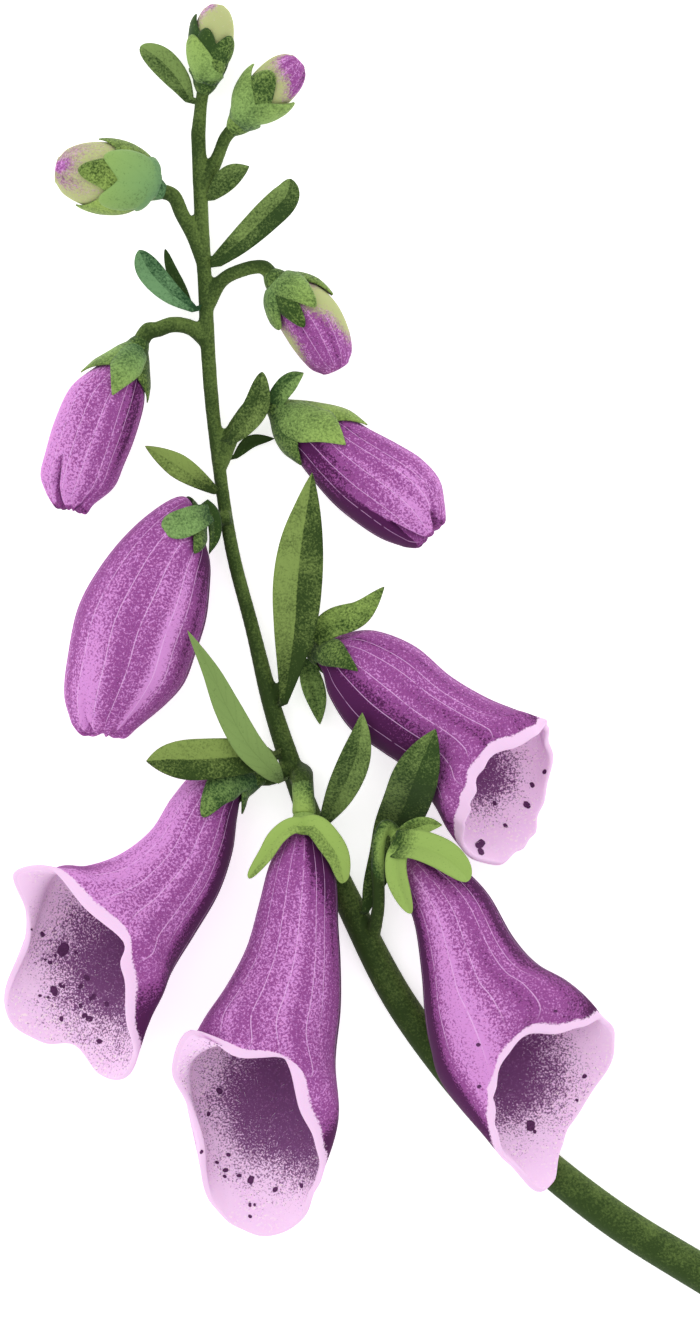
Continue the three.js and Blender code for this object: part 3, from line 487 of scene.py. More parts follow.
# The young buds: each corolla is still a smooth closed egg, yellow green where it is youngest and flushed
# with magenta at its tip. It is drawn along a spine of x, y, z points, with its greatest radius and how
# bluntly it swells from its base and closes at its end.
BUDS = {
    "01": {"spine": [(26.7, 161.3, 3.8), (27.6, 165.8, 4.2), (28.2, 171.3, 4.2)], "half": 2.6, "base": 2.1},
    "02": {"spine": [(31.1, 155.9, 4), (35, 160.1, 4.6), (38.9, 164, 4.6)], "half": 3.0, "base": 2.1},
    "03": {"spine": [(20.1, 147.3, 5.2), (17.9, 148.1, 5.5), (13, 149, 5.5), (7.1, 149.7, 5.5)],
           "half": 4.4, "base": 1.5},
    "04": {"spine": [(36, 135.2, 4.8), (37.6, 133.5, 5), (40.7, 129.7, 5), (43.8, 123.6, 4.8)],
           "half": 4, "base": 1.3, "end": 2.8},
}
# A flush of colour is the angle round the flower and the place along it, how wide it is each way, and the
# change in lightness, and in paleness and youth where they are given. The changes in lightness are painted
# light and shade on the flower.
BUD_FLUSH = {
    "01": {"ground": (0.6, 0.1, 1.0), "flushes_and_shading": [
        (55, 7, 45, 1.3, 0, 0, -0.6), (25, 5.4, 30, 1.6, 0, 0, -0.4)]},
    "02": {"ground": (0.5, 0.1, 1.0), "flushes_and_shading": [
        (82, 6.5, 62, 2, 0, 0, -1.3), (150, 6.4, 34, 1.3, -0.1, 0, -1), (150, 5.2, 30, 1.6, -0.1, 0, -1)]},
    "03": {"ground": (0.5, 0.1, 0.85), "flushes_and_shading": [
        (106, 7, 24, 1.4, 0, 0, -1), (60, 6.3, 22, 1.7, -0.1, 0, -0.4), (150, 6, 24, 1.7, 0, 0, -0.35)]},
    "04": {"ground": (0.45, 0.0, 0.0), "flushes_and_shading": [
        (15, 4.2, 34, 1.3, 0, 0, 1.1), (165, 4.4, 30, 1.4, 0, 0.1, 0.8), (60, 3.2, 30, 0.9, 0, 0, 0.8)]},
}
BUD_STATIONS = (0, 0.1, 0.26, 0.45, 0.64, 0.8, 0.92, 0.98)
BUD_WIDEST = 0.58
BASE_RADIUS = 1.0
BUD_ROWS, DOME_ROWS = 50, 7
COROLLA_COLUMNS = 96
TURNS = -math.pi / 2 + np.linspace(0, 2 * math.pi, COROLLA_COLUMNS + 1)
AROUND = np.linspace(0, 1, COROLLA_COLUMNS + 1)
PETAL_GRAINS, SOFT_GRAINS = 3400.0, 3000.0


class Corolla:
    """The outside of a corolla. A place on it is the angle round the tube, 0 at its right and a quarter turn
    at its top, and the station along it, counted in rings from its base."""

    def __init__(self, centres, across, upward, mouth=None):
        self.centres, self.across, self.upward, self.mouth = centres, across, upward, mouth
        self.last = len(centres) - (0 if mouth else 1)

    def point(self, turn, station):
        turn, station = np.broadcast_arrays(np.asarray(turn, float), np.asarray(station, float))
        shape, turn, share = turn.shape, turn.ravel(), np.clip(station.ravel() / self.last, 0, 1)
        rings = (self.centres[:, None] + self.across[:, None] * np.cos(turn)[:, None]
                 + self.upward[:, None] * np.sin(turn)[:, None])
        if self.mouth:
            rings = np.concatenate([rings, self.mouth(turn)[None]])
        return np.einsum("ks,skd->kd", pulls(share, len(rings)), rings).reshape(*shape, 3)

    def outward(self, turn, station):
        low, high = np.maximum(station - 0.02, 0), np.minimum(station + 0.02, self.last)
        round_it = self.point(turn + 0.02, station) - self.point(turn - 0.02, station)
        return unit(np.cross(round_it, self.point(turn, high) - self.point(turn, low)))

    def offset(self, turn, station, distance):
        return self.point(turn, station) + self.outward(turn, station) * np.asarray(distance)[..., None]

    def centre(self, station):
        return (self.point(0, station) + self.point(math.pi, station)) / 2

    def radius(self, turn, station):
        return np.linalg.norm(self.point(turn, station) - self.centre(station), axis=-1)

    def aim(self):
        return unit(self.centre(1) - self.centre(0))

    def under(self, x, y, below):
        """The angle and the station of the upper outside that x, y lies above, or of the underside."""
        station = np.arange(0, self.last + 0.01, 0.05)
        right, left = self.point(0, station)[:, :2], self.point(math.pi, station)[:, :2]
        across, away = (right - left) / 2, np.array((x, y)) - (right + left) / 2
        share = np.sum(away * across, 1) / np.sum(across * across, 1)
        nearest = np.argmin(np.linalg.norm(away - across * share[:, None], axis=1))
        turn = math.acos(np.clip(share[nearest], -1, 1))
        return (-turn if below else turn), station[nearest]


def bud_corolla(spine, half, base, end=2.4):
    share = np.array(BUD_STATIONS)
    ahead = heading(spine, share)
    early = share < BUD_WIDEST
    side, bluntness = np.where(early, BUD_WIDEST, 1 - BUD_WIDEST), np.where(early, base, end)
    swell = (1 - np.abs((share - BUD_WIDEST) / side) ** bluntness) ** (1 / bluntness)
    radius = np.maximum(half * swell, BASE_RADIUS)[:, None]
    across = unit(np.stack([-ahead[:, 1], ahead[:, 0], 0 * share], 1)) * radius
    return Corolla(curve(spine, share), across, radius * np.array((0.0, 0.0, 1.0)))


def apart(turn, degrees):
    return np.angle(np.exp(1j * (turn - math.radians(degrees))))


def flushed_and_shaded(turn, station, ground, flushes_and_shading):
    """What is painted on a corolla: lightness, with its painted light and shade, paleness and youth."""
    colour = np.broadcast_to(ground, (*np.broadcast_shapes(turn.shape, station.shape), 3)).copy()
    for angle, at, wide, long, *change in flushes_and_shading:
        weight = np.exp(-((apart(turn, angle) / math.radians(wide)) ** 2) - ((station - at) / long) ** 2)
        for channel, step in enumerate(change):
            colour[..., channel] += weight * step
    return np.concatenate([np.clip(colour, 0, 1), np.ones((*colour.shape[:-1], 1))], -1)


def nerve_lines(tree, inputs):
    place = add(tree, "ShaderNodeSeparateXYZ", Vector=inputs["Where"]).outputs
    turns = calc(tree, "MULTIPLY", place["X"], inputs["Count"])
    course = add(tree, "ShaderNodeCombineXYZ", X=calc(tree, "MULTIPLY", calc(tree, "FLOOR", turns), 3.7),
                 Y=calc(tree, "MULTIPLY", place["Y"], 0.6)).outputs[0]
    wander = stretch(tree, noise(tree, 1.0, 1.0, course), 0.25, 0.75, 0.2, 0.8)
    away = calc(tree, "ABSOLUTE", calc(tree, "SUBTRACT", calc(tree, "FRACT", turns), wander))
    near = calc(tree, "SUBTRACT", 1.5, calc(tree, "DIVIDE", away, inputs["Width"]), clamp=True)
    breaks = calc(tree, "MULTIPLY", inputs["Where"], (31.0, 30.0, 1.0), kind="ShaderNodeVectorMath")
    whole = stretch(tree, noise(tree, 1.0, 1.0, breaks), 0.28, 0.42)
    reach = calc(tree, "ADD", place["Y"], stretch(tree, wander, 0.2, 0.8, -0.2, 0.2))
    begins, ends = stretch(tree, place["Y"], 0.06, 0.16), stretch(tree, reach, 0.75, 0.9, 1.0, 0.0)
    return calc(tree, "MULTIPLY", calc(tree, "MULTIPLY", near, whole), calc(tree, "MULTIPLY", begins, ends))


# The fine pale nerves that run along a corolla, broken here and there.
NERVES = group("nerves", [
    ("Where", "NodeSocketVector", None),
    ("Count", "NodeSocketFloat", 15.0),
    ("Width", "NodeSocketFloat", 0.019),
], nerve_lines)

PETAL_DARK, PETAL_MID, PETAL_LIGHT = paint(80, 28, 78), paint(146, 74, 143), paint(212, 144, 212)
NERVE, LIP, YOUNG = paint(232, 184, 234), paint(240, 204, 238), paint(180, 187, 128)


def petal_colour(tree):
    channel = painted_on(tree)
    where = add(tree, "ShaderNodeUVMap", {"uv_map": "where"}).outputs[0]
    bands = calc(tree, "MULTIPLY", where, (17.0, 1.3, 1.0), kind="ShaderNodeVectorMath")
    # the red channel is the lightness painted on the corolla, which holds its painted light and shade
    tone = calc(tree, "ADD", channel["Red"], stretch(tree, noise(tree, vector=bands), 0.3, 0.7, -0.15, 0.15))
    mid = stipple(tree, stretch(tree, tone, 0.05, 0.5), PETAL_GRAINS, 0.4)
    light = stipple(tree, stretch(tree, tone, 0.15, 0.9, 0.0, 0.8), PETAL_GRAINS, 0.4, 0.21)
    colour = mix(tree, light, mix(tree, mid, PETAL_DARK, PETAL_MID), PETAL_LIGHT)
    nerve = add(tree, "ShaderNodeGroup", {"node_tree": NERVES}, Where=where).outputs[0]
    colour = mix(tree, calc(tree, "MULTIPLY", nerve, 0.7), colour, NERVE)
    colour = mix(tree, stipple(tree, channel["Blue"], SOFT_GRAINS, 1.2, 0.55), colour, YOUNG)
    colour = mix(tree, stipple(tree, channel["Green"], SOFT_GRAINS, 0.6, 0.73), colour, LIP)
    return colour, calc(tree, "ADD", light, calc(tree, "MULTIPLY", nerve, 2.0))


petal_finish, bud_finish = [
    finish_of(name, petal_colour, 0.8, bump=0.1, sheen=0.03, translucent=0.05) for name in ("petal", "bud")]
corollas = {}
for number, bud in BUDS.items():
    corolla = corollas[number] = bud_corolla(**bud)
    station = np.linspace(0, corolla.last, BUD_ROWS)[:, None]
    rings = corolla.point(TURNS[:-1], station)
    top, tip = rings[-1].mean(0), np.array(bud["spine"][-1])
    dome = [top + (tip - top) * math.sin(rise) + (rings[-1] - top) * math.cos(rise)
            for rise in np.linspace(0.2, 1.45, DOME_ROWS)]
    rings = np.concatenate([rings, dome])
    station = np.concatenate([station, np.full((DOME_ROWS, 1), corolla.last)])
    colour = flushed_and_shaded(TURNS[None, :-1], station, **BUD_FLUSH[number])
    skin = sleeve(rings, AROUND, np.linspace(0, 1, len(rings)), colour, end=tip)
    grown(f"bud_{number}", [skin], [bud_finish], f"corolla_{number}")

# The closed bells: grown corollas that still hold their five lobes together over a shallow hollow. Each is a
# row of upright rings: the left edge x, y, the right edge x, y, the bottom and the top, and how far the ring
# leans, if it does.
CLOSED_BELLS = {
    "05": {"rings": [
        (17, 127, 18.6, 126.1, 3.4, 5.4), (14.7, 125.5, 18.7, 123.9, 2.2, 7.2),
        (12.1, 123.9, 18.8, 121.4, 1.4, 8.8), (9.1, 121.4, 18.6, 118.6, 0.5, 9.8),
        (7.1, 117.2, 17.4, 114.5, 0.2, 10.2), (5.9, 113.2, 16.1, 111.3, 0.2, 10),
        (5.2, 110, 14.8, 108.4, 0.8, 9.2), (6, 107.5, 12.2, 106.2, 2.2, 7.6),
    ], "tip": (9.2, 105, 4.8)},
    "06": {"rings": [
        (35.5, 117.9, 36.9, 119.3, 3.4, 5.4), (36.8, 114.4, 41, 118.8, 2.2, 7.8),
        (38.3, 112.4, 44.8, 117.9, 1.6, 9.6), (40.5, 109.5, 48, 116, 0.9, 10.6),
        (43.4, 106.2, 51.6, 114.1, 0.3, 11.3), (46.6, 103.6, 54.8, 112.1, 0.2, 11.4),
        (49.6, 101.7, 57.2, 109.3, 0.6, 10.8), (52.6, 100.6, 57.9, 105.8, 2, 9),
    ], "tip": (56.4, 102, 5.4)},
    "07": {"rings": [
        (25.6, 105.3, 26, 103.4, 3.9, 6.1), (24, 107.2, 26.6, 101.5, 2.2, 8),
        (21.4, 106.4, 27.3, 98.7, 1.2, 10), (17.2, 103.1, 27.3, 95.8, 0.4, 11.8),
        (13.3, 98.5, 26.8, 91.2, -0.3, 13.6), (10.2, 93, 25.5, 87, -0.5, 14.2),
        (8.8, 86.6, 24, 83, -0.3, 13.8), (8.3, 81.5, 21.6, 80.2, 0.6, 12.4), (9.2, 77.8, 18, 77.2, 2.6, 10),
    ], "tip": (13.4, 75.6, 6.2)},
}
LOBES, LOBE_TURN = 5, math.radians(18)
LOBE_RINGS = 2.2  # how far back from the tip the lobes show
CREASE_WIDTH, CREASE_DEPTH = 0.02, 0.3
CLOSED_SHADING = {
    "05": {"ground": (0.5, 0.0, 0.0), "flushes_and_shading": [
        (170, 5, 60, 4, 0.33), (30, 4, 45, 5, -0.25), (60, 0.5, 60, 1.4, -0.2)]},
    "06": {"ground": (0.36, 0.0, 0.0), "flushes_and_shading": [
        (85, 5.5, 30, 3, 0.08), (178, 4, 40, 7, -0.28), (20, 5, 30, 3, 0.1), (110, 1.5, 30, 1.2, -0.25)]},
    "07": {"ground": (0.56, 0.0, 0.0), "flushes_and_shading": [
        (5, 3, 40, 4, -0.4), (60, 6.2, 9, 3.5, 0.4), (122, 7.5, 14, 2.5, 0.3), (90, 7, 12, 3, -0.2),
        (40, 1, 60, 1.6, -0.45), (168, 4.5, 18, 3.5, -0.25)]},
}
CLEFTS = {  # the angle of each, how far back it reaches, in rings, and its half width
    "05": [(124, 2.1, 7), (60, 0.25, 8), (90, 0.2, 6)],
    "06": [(124, 1.5, 8), (62, 0.7, 9)],
    "07": [(150, 0.2, 6), (122, 0.25, 6), (95, 0.3, 7), (70, 0.25, 6), (40, 0.2, 6)],
}
# painted light and shade on the five lobes near the tip: one lobe darker, another lighter
LOBE_LIGHT_AND_SHADE = {"05": (0.1, 0.2, 0, 0, -0.1), "06": (0.15, 0.3, -0.35, 0, 0), "07": (-0.1, 0.05, 0.1, 0, 0)}
# painted shade: the set lightness of the hollow at the tip
HOLLOW_SHADE = {"05": 0.3, "06": 0.3, "07": 0.5}
CLOSED_ROWS, CLOSING_ROWS, HOLLOW_ROWS = 56, 17, 14
HOLLOW_DEPTH = 0.4


def upright(rings):
    rings = np.array([(*ring, 0)[:7] for ring in rings], float)
    left, right, bottom, top, lean = rings[:, 0:2], rings[:, 2:4], rings[:, 4], rings[:, 5], rings[:, 6]
    flat = np.zeros((len(rings), 1))
    across = np.hstack([(right - left) / 2, flat])
    forward = unit(np.stack([across[:, 1], -across[:, 0], 0 * lean], 1))
    centres = np.hstack([(left + right) / 2, ((bottom + top) / 2)[:, None]])
    upward = np.hstack([flat, flat, ((top - bottom) / 2)[:, None]]) - forward * lean[:, None]
    return centres, across, upward


def on_table(points, level):
    points[..., 2] = np.maximum(points[..., 2], level)
    return points


for number, bell in CLOSED_BELLS.items():
    corolla = corollas[number] = Corolla(*upright(bell["rings"]))
    turn, last = TURNS[:-1], corolla.last
    station = np.linspace(0, last, CLOSED_ROWS)[:, None]
    wave = np.cos(LOBES * (turn - LOBE_TURN) / 2)
    lobe, crease = 2 * np.abs(wave) - 1, np.exp(-(wave**2) / CREASE_WIDTH)
    grown_out = ease(station, last - LOBE_RINGS, last)
    parted = sum(back * np.exp(-((apart(turn, angle) / math.radians(wide)) ** 2))
                 for angle, back, wide in CLEFTS[number])
    sunk = -CREASE_DEPTH * crease * grown_out
    rings = on_table(corolla.offset(turn, station - parted * grown_out, sunk), 0)
    tip = np.array(bell["tip"], float)
    forward = tip - corolla.centre(last)
    keys = [rings[-6], rings[-1]]
    for share, push in ((0.35, 0.25 + 0.25 * lobe - 0.3 * parted), (0.75, 0.1 * lobe - 0.2)):
        keys.append(rings[-1] + (tip - rings[-1]) * share + forward * push[:, None])
    bottom = tip - HOLLOW_DEPTH * forward
    keys.append(np.broadcast_to(bottom, rings[-1].shape))
    rings = np.concatenate([rings, curve(keys, np.linspace(0.25, 0.98, CLOSING_ROWS + 1)[1:])])
    station = np.concatenate([station, np.full((CLOSING_ROWS, 1), last + 0.5)])
    colour = flushed_and_shaded(turn[None], station, **CLOSED_SHADING[number])
    lobes = np.round((turn - LOBE_TURN) / math.radians(360 / LOBES)).astype(int) % LOBES
    # painted light and shade on each lobe, towards the tip
    of_lobe = np.array(LOBE_LIGHT_AND_SHADE[number])[lobes]
    colour[:, :, 0] += of_lobe * ease(station, last - 4, last - 0.5)
    # painted shade in the creases between the lobes
    colour[:, :, 0] -= 0.2 * crease * ease(station, last - 2, last)
    # painted shade in the hollow at the tip
    colour[-HOLLOW_ROWS:, :, 0] = HOLLOW_SHADE[number]
    skin = sleeve(rings, AROUND, np.linspace(0, 1, len(rings)), np.clip(colour, 0, 1), end=bottom)
    grown(f"bell_{number}", [skin], [petal_finish], f"corolla_{number}")

# The open bells: thin, soft tubes that flare into a pale lip. The outside is purple with fine nerves and
# painted light and shade; inside, the pale lip breaks up in grains into a deep throat, painted dark as shade
# deep in the bell. A mouth is sixteen x, y points of its edge, from the top round by the right, and its
# levels at the top and at the lowest lip.
OPEN_BELLS = {
    "08": {"rings": [
        (40.5, 86.6, 41.9, 88.2, 4, 6), (41.9, 84.4, 45.2, 89.5, 2.8, 8.6), (42.8, 81.2, 49, 89.7, 1.8, 11.2),
        (45.5, 77, 54, 87.7, 0.5, 13.2), (49.5, 74.1, 58.5, 83.9, -0.5, 13),
        (53.4, 71.3, 63, 81.2, -0.5, 13.6), (56.5, 67, 67, 79.5, 0, 14.6, 2),
        (58.6, 63.4, 69.6, 78.6, 0.1, 15, 4),
    ], "mouth": [
        (61.7, 72.4), (63.8, 74.6), (66.7, 75.9), (69.4, 77), (70.8, 78.2), (71.4, 76), (71.8, 73),
        (71.3, 69.8), (70.2, 66.7), (69.2, 63.2), (67, 60.9), (64.2, 59.3), (61.2, 60.2), (59.3, 63.2),
        (59.6, 65.9), (60.5, 69),
    ], "mouth_top": 14.6, "mouth_low": 0.9},
    "09": {"rings": [
        (32.4, 71, 33.3, 69.8, 3.2, 5.2), (29.4, 72.2, 31.5, 68.4, 2.2, 7.4),
        (25.8, 71.8, 30.8, 65.2, 1.4, 9.8), (22.3, 68, 30.2, 60.8, 0.6, 11.4),
        (19.6, 63.8, 28.4, 55.5, -0.1, 12.4), (15.6, 60.7, 25.3, 50.2, -0.5, 14),
        (11, 59.1, 22.4, 45.5, -0.5, 15.6, 2), (7, 58.8, 20, 40.5, 0, 16.4, 4.5),
    ], "mouth": [
        (16.5, 50.6), (16.9, 47), (17.6, 44), (17.3, 39.5), (18, 34.6), (16.2, 31.6), (13, 32.3), (9.8, 35.9),
        (5.6, 36.3), (1.3, 39), (0.6, 43.3), (3, 49), (3.4, 54), (2.7, 58.6), (7.6, 58.9), (12, 54.6),
    ], "mouth_top": 16, "mouth_low": 0.7},
    "10": {"rings": [
        (38.5, 65, 40.5, 65, 8, 10), (36.6, 62.6, 42.4, 62.2, 7, 12.6), (34.9, 59, 43.7, 57.5, 5.8, 14.1),
        (33.6, 54, 44, 51.5, 4.2, 14.2), (32, 48.5, 44.3, 46.5, 2.6, 14.4),
        (29.3, 43.4, 44.3, 40.5, 0.9, 15.3, 1), (26.3, 38.9, 43.6, 33.5, -0.4, 16.2, 3),
        (24, 34, 43.7, 25, -0.4, 16.6, 6.2),
    ], "mouth": [
        (36.5, 34.7), (38.9, 32.6), (40.1, 28.3), (41.6, 24.3), (42.2, 19.8), (41, 16.8), (39.6, 13.6),
        (36.8, 11.5), (33, 11.3), (29, 13.4), (26.4, 17.2), (25.9, 22.4), (24.2, 28.4), (22.9, 33.4),
        (26, 37.6), (31.2, 35.4),
    ], "mouth_top": 16.2, "mouth_low": 0.7},
    "11": {"rings": [
        (51.5, 61.5, 53.3, 62.4, 7.5, 9.5), (51.6, 58.3, 56.6, 60.8, 6, 11.8),
        (52.8, 54.8, 60, 59, 4.6, 13.2), (54, 51, 63.5, 55.5, 3.6, 14.4), (54.8, 45, 66.7, 50, 2.6, 15.2),
        (55.2, 40, 69.8, 46.5, 1.8, 16.2, 1), (56, 35.5, 73.8, 44.1, 1.6, 17, 2.5),
        (58, 30, 76.8, 41.5, 2.6, 17.8, 3.5),
    ], "mouth": [
        (65.8, 35.7), (68.8, 38.1), (72.4, 38.5), (75.5, 38.9), (78.3, 39.6), (79.9, 37.2), (79.2, 33.5),
        (77, 29.9), (74.3, 26), (72.7, 22.4), (71.6, 18), (69.2, 17.1), (66.4, 20.2), (64.3, 22.8),
        (63.5, 27), (63.8, 31.2),
    ], "mouth_top": 16.8, "mouth_low": 3.6, "mouth_roll": -0.8},
}
# A throat is the x, y it is deepest at, and from there how far it is painted dark, as painted shade deep in
# the bell, and from where it is pale.
OPEN_SHADING_AND_FLUSH = {
    "08": {"ground": (0.42, 0.0, 0.0), "flushes_and_shading": [
        (175, 2.2, 55, 2.6, -0.75), (10, 6.5, 40, 2, -0.12), (150, 5.5, 30, 1.5, -0.25),
        (95, 4, 30, 2, 0.03),
    ], "throat": (62.5, 71.5, -1.5, 10.5), "ripple": 0.18},
    "09": {"ground": (0.58, 0.0, 0.0), "flushes_and_shading": [
        (140, 4, 35, 4, 0.22), (8, 4, 36, 7, -0.65), (60, 1, 60, 2, -0.35), (165, 6.4, 26, 1, -0.3),
    ], "throat": (17, 46.5, -2, 21), "ripple": 0.03},
    "10": {"ground": (0.52, 0.0, 0.0), "flushes_and_shading": [
        (50, 1, 60, 1.6, -0.55), (100, 4, 30, 3, 0.15), (0, 5, 26, 7, -0.5), (112, 6.2, 12, 1.1, -0.15),
        (165, 5, 20, 4, -0.12), (195, 7.6, 22, 0.7, 0, 1, 0),
    ], "throat": (38, 28.7, 0, 20), "ripple": 0.06},
    "11": {"ground": (0.46, 0.0, 0.0), "flushes_and_shading": [
        (115, 5, 20, 5, 0.45), (178, 4, 34, 6, -0.6), (5, 3.5, 34, 5, -0.45), (60, 1, 60, 1.5, -0.3),
    ], "throat": (66.5, 32.5, -1.5, 15.5), "ripple": 0.13},
}
WALL = 0.8
ROLL = 1.1
OUTSIDE_ROWS, RIM_ROWS, INSIDE_ROWS = 64, 7, 60
INNER_END = 1.3


def mouth_edge(ripple, mouth, mouth_top, mouth_low, mouth_roll=0.0, **_):
    edge = np.array([(x, y, 0.0) for x, y in mouth])
    level, swing = (mouth_top + mouth_low) / 2, (mouth_top - mouth_low) / 2

    def at(turn):
        points = curve(edge, (0.25 - turn / (2 * math.pi)) % 1.0, loop=True)
        wave = ripple * np.sin(13 * turn + 2 * np.sin(3 * turn))
        points[:, :2] += wave[:, None] * unit(points[:, :2] - edge[:, :2].mean(0))
        points[:, 2] = level + swing * np.sin(turn) + mouth_roll * np.cos(turn)
        return points

    return at


def throat_colour(tree):
    channel, cloud = painted_on(tree), noise(tree, 260.0)
    level = calc(tree, "ADD", channel["Red"], stretch(tree, cloud, 0.3, 0.7, -0.08, 0.08))
    grain = stipple(tree, level, 3800.0, 0.35)
    speck = stipple(tree, 0.3, 2600.0, 0.3, 0.41)
    lip = mix(tree, speck, paint(244, 204, 243), paint(252, 234, 240))
    lip = mix(tree, stretch(tree, cloud, 0.4, 0.65), lip, paint(246, 210, 244))
    # the deep colour is painted shade deep in the bell
    deep = mix(tree, speck, paint(119, 71, 120), paint(142, 92, 143))
    return mix(tree, grain, deep, lip), grain


throat_finish = finish_of("throat", throat_colour, 0.75, bump=0.1, sheen=0.1, translucent=0.05)
bells = {}
for number, bell in OPEN_BELLS.items():
    look, turn = OPEN_SHADING_AND_FLUSH[number], TURNS[:-1]
    corolla = corollas[number] = Corolla(*upright(bell["rings"]), mouth=mouth_edge(look["ripple"], **bell))
    last = corolla.last
    out = np.linspace(0, last, OUTSIDE_ROWS)[:, None]
    back = np.linspace(last, INNER_END, INSIDE_ROWS)[:, None]
    outside = on_table(corolla.point(turn, out), 0)
    inside = on_table(corolla.offset(turn, back, -WALL), WALL)
    ahead = unit(corolla.point(turn, last) - corolla.point(turn, last - 0.2))
    bulge = 0.3 + ROLL * ease(np.sin(turn), -0.4, 1.0)
    bend = np.linspace(0, math.pi, RIM_ROWS + 2)[1:-1, None]
    rim = (outside[-1] * (1 + np.cos(bend))[..., None] / 2 + inside[0] * (1 - np.cos(bend))[..., None] / 2
           + ahead * (bulge * np.sin(bend))[..., None])
    rings = np.concatenate([outside, on_table(rim, 0), inside])
    station = np.concatenate([out, np.full((RIM_ROWS, 1), last), back])
    colour = flushed_and_shaded(turn[None], station, look["ground"], look["flushes_and_shading"])
    to_edge = np.linalg.norm(outside - outside[-1], axis=-1)
    low = -np.sin(turn)
    pale_band = 0.7 + 0.8 * ease(low, -0.3, 0) + 1.7 * ease(low, 0, 0.5)  # the lower lip is pale beneath too
    pale = colour[:OUTSIDE_ROWS, :, 1] + 1 - ease(to_edge / pale_band, 0.14, 1)
    colour[:OUTSIDE_ROWS, :, 1] = np.clip(pale, 0, 1)
    colour[OUTSIDE_ROWS:OUTSIDE_ROWS + RIM_ROWS, :, :2] = 1
    x, y, deep_to, pale_from = look["throat"]
    # painted shade: the inside is dark near the deepest point of the throat and pale towards the lip
    colour[-INSIDE_ROWS:, :, 0] = ease(np.hypot(inside[..., 0] - x, inside[..., 1] - y), deep_to, pale_from)
    finish = np.where(np.arange(len(rings) - 1) < OUTSIDE_ROWS + RIM_ROWS - 1, 0, 1)
    along = np.concatenate([out[:, 0] / last, np.full(RIM_ROWS, 1.0), back[:, 0] / last])
    skin, finishes = sleeve(rings, AROUND, along, colour, skin=finish), [petal_finish, throat_finish]
    bells[number] = grown(f"bell_{number}", [skin], finishes, f"corolla_{number}")

# The spots in the throats: dark, rounded blotches of colour on the lower lip, each as x, y and its radius
# where the camera sees it. They are painted as thin flecks that lie on the petal.
SPOTS = {
    "08": [(69.2, 69.7, 0.35), (68.5, 67.1, 0.5), (65.7, 64.4, 0.3), (62.4, 62, 0.6), (62.5, 61, 0.45),
           (70.8, 71.4, 0.3), (69.9, 66.3, 0.3), (64.3, 67.3, 0.3)],
    "09": [(5.5, 50.3, 0.35), (8.2, 48.3, 0.85), (7.2, 47.5, 0.25), (6.5, 46.6, 0.3), (11.3, 44.6, 0.4),
           (10.5, 43.5, 0.35), (7.9, 43.6, 0.3), (8.3, 43.5, 0.25), (7, 42.9, 0.6), (5.2, 42.3, 0.22),
           (6.2, 42.1, 0.2), (12.2, 42.2, 0.35), (11.8, 41.9, 0.25), (10.5, 41, 0.3), (8, 39.3, 0.32),
           (11, 39.7, 0.35), (11.6, 39.3, 0.45), (12.9, 36.4, 0.35), (13.9, 41.2, 0.35), (4.1, 50.9, 0.14),
           (9.9, 47.9, 0.25), (5.9, 47, 0.2)],
    "10": [(28.5, 29.9, 0.45), (27.1, 26.9, 0.3), (26.2, 22, 0.25), (29.7, 21.6, 0.3), (28.2, 20.6, 0.25),
           (29.3, 19.6, 0.35), (29.2, 18.8, 0.25), (31.1, 18.9, 0.3), (32.6, 18.4, 0.5), (35.8, 17.1, 0.35),
           (39.2, 17.6, 0.3), (32.5, 15.1, 0.25), (33.1, 15.1, 0.2), (32.5, 13.6, 0.25)],
    "11": [(76, 31.8, 0.3), (75, 28.7, 0.22), (69, 25.4, 0.65), (69.5, 24.6, 0.25), (62.2, 35.9, 0.28),
           (62.3, 30.5, 0.26), (72.2, 40.3, 0.22)],
}
SPOT_LIFT = 0.04
SPOT_SIDES = 14
SPOT_WAVE, SPOT_WOBBLE = 0.16, 0.07
dice = np.random.default_rng(7)


def spot_colour(tree):
    grain = stipple(tree, 0.5, 4000.0, 0.8)
    return mix(tree, grain, paint(76, 36, 76), paint(98, 50, 98)), grain


spot_finish = finish_of("spots", spot_colour, 0.55, bump=0.05)
eye = np.array(camera.location)


def seen(surface, x, y):
    """Where the camera's line through a place in the picture meets a piece, and how the piece faces there."""
    aim = (np.array((x, y, FLOWER_LEVEL / MM)) - DRAWING_CENTRE) * MM
    return surface.ray_cast(Vector(eye), Vector(aim - eye))[:2]


for number, spots in SPOTS.items():
    bell = bells[number].data
    surface = BVHTree.FromPolygons([v.co for v in bell.vertices], [p.vertices for p in bell.polygons])
    turns = np.linspace(0, 2 * math.pi, SPOT_SIDES + 1)[:-1]
    points, faces = [], []
    for x, y, radius in spots:
        start, wobble = dice.uniform(0, 6), dice.standard_normal(SPOT_SIDES)
        reach = radius * (1 + SPOT_WAVE * np.sin(2 * turns + start) + SPOT_WOBBLE * wobble)
        fleck = [(x, y)]
        for share in (0.55, 1.0):
            fleck += zip(x + share * reach * np.cos(turns), y + share * reach * np.sin(turns))
        hits = [seen(surface, *place) for place in fleck]
        if any(hit is None for hit, _ in hits):
            continue  # a fleck that would reach past the petal's edge is left out
        first = len(points)
        points += [hit + facing * SPOT_LIFT * MM for hit, facing in hits]
        for i in range(SPOT_SIDES):
            a, b = first + 1 + i, first + 1 + (i + 1) % SPOT_SIDES
            faces += [(first, a, b), (a, a + SPOT_SIDES, b + SPOT_SIDES, b)]
    put(f"spots_{number}", new_mesh(f"spots_{number}", points, faces, [spot_finish]))

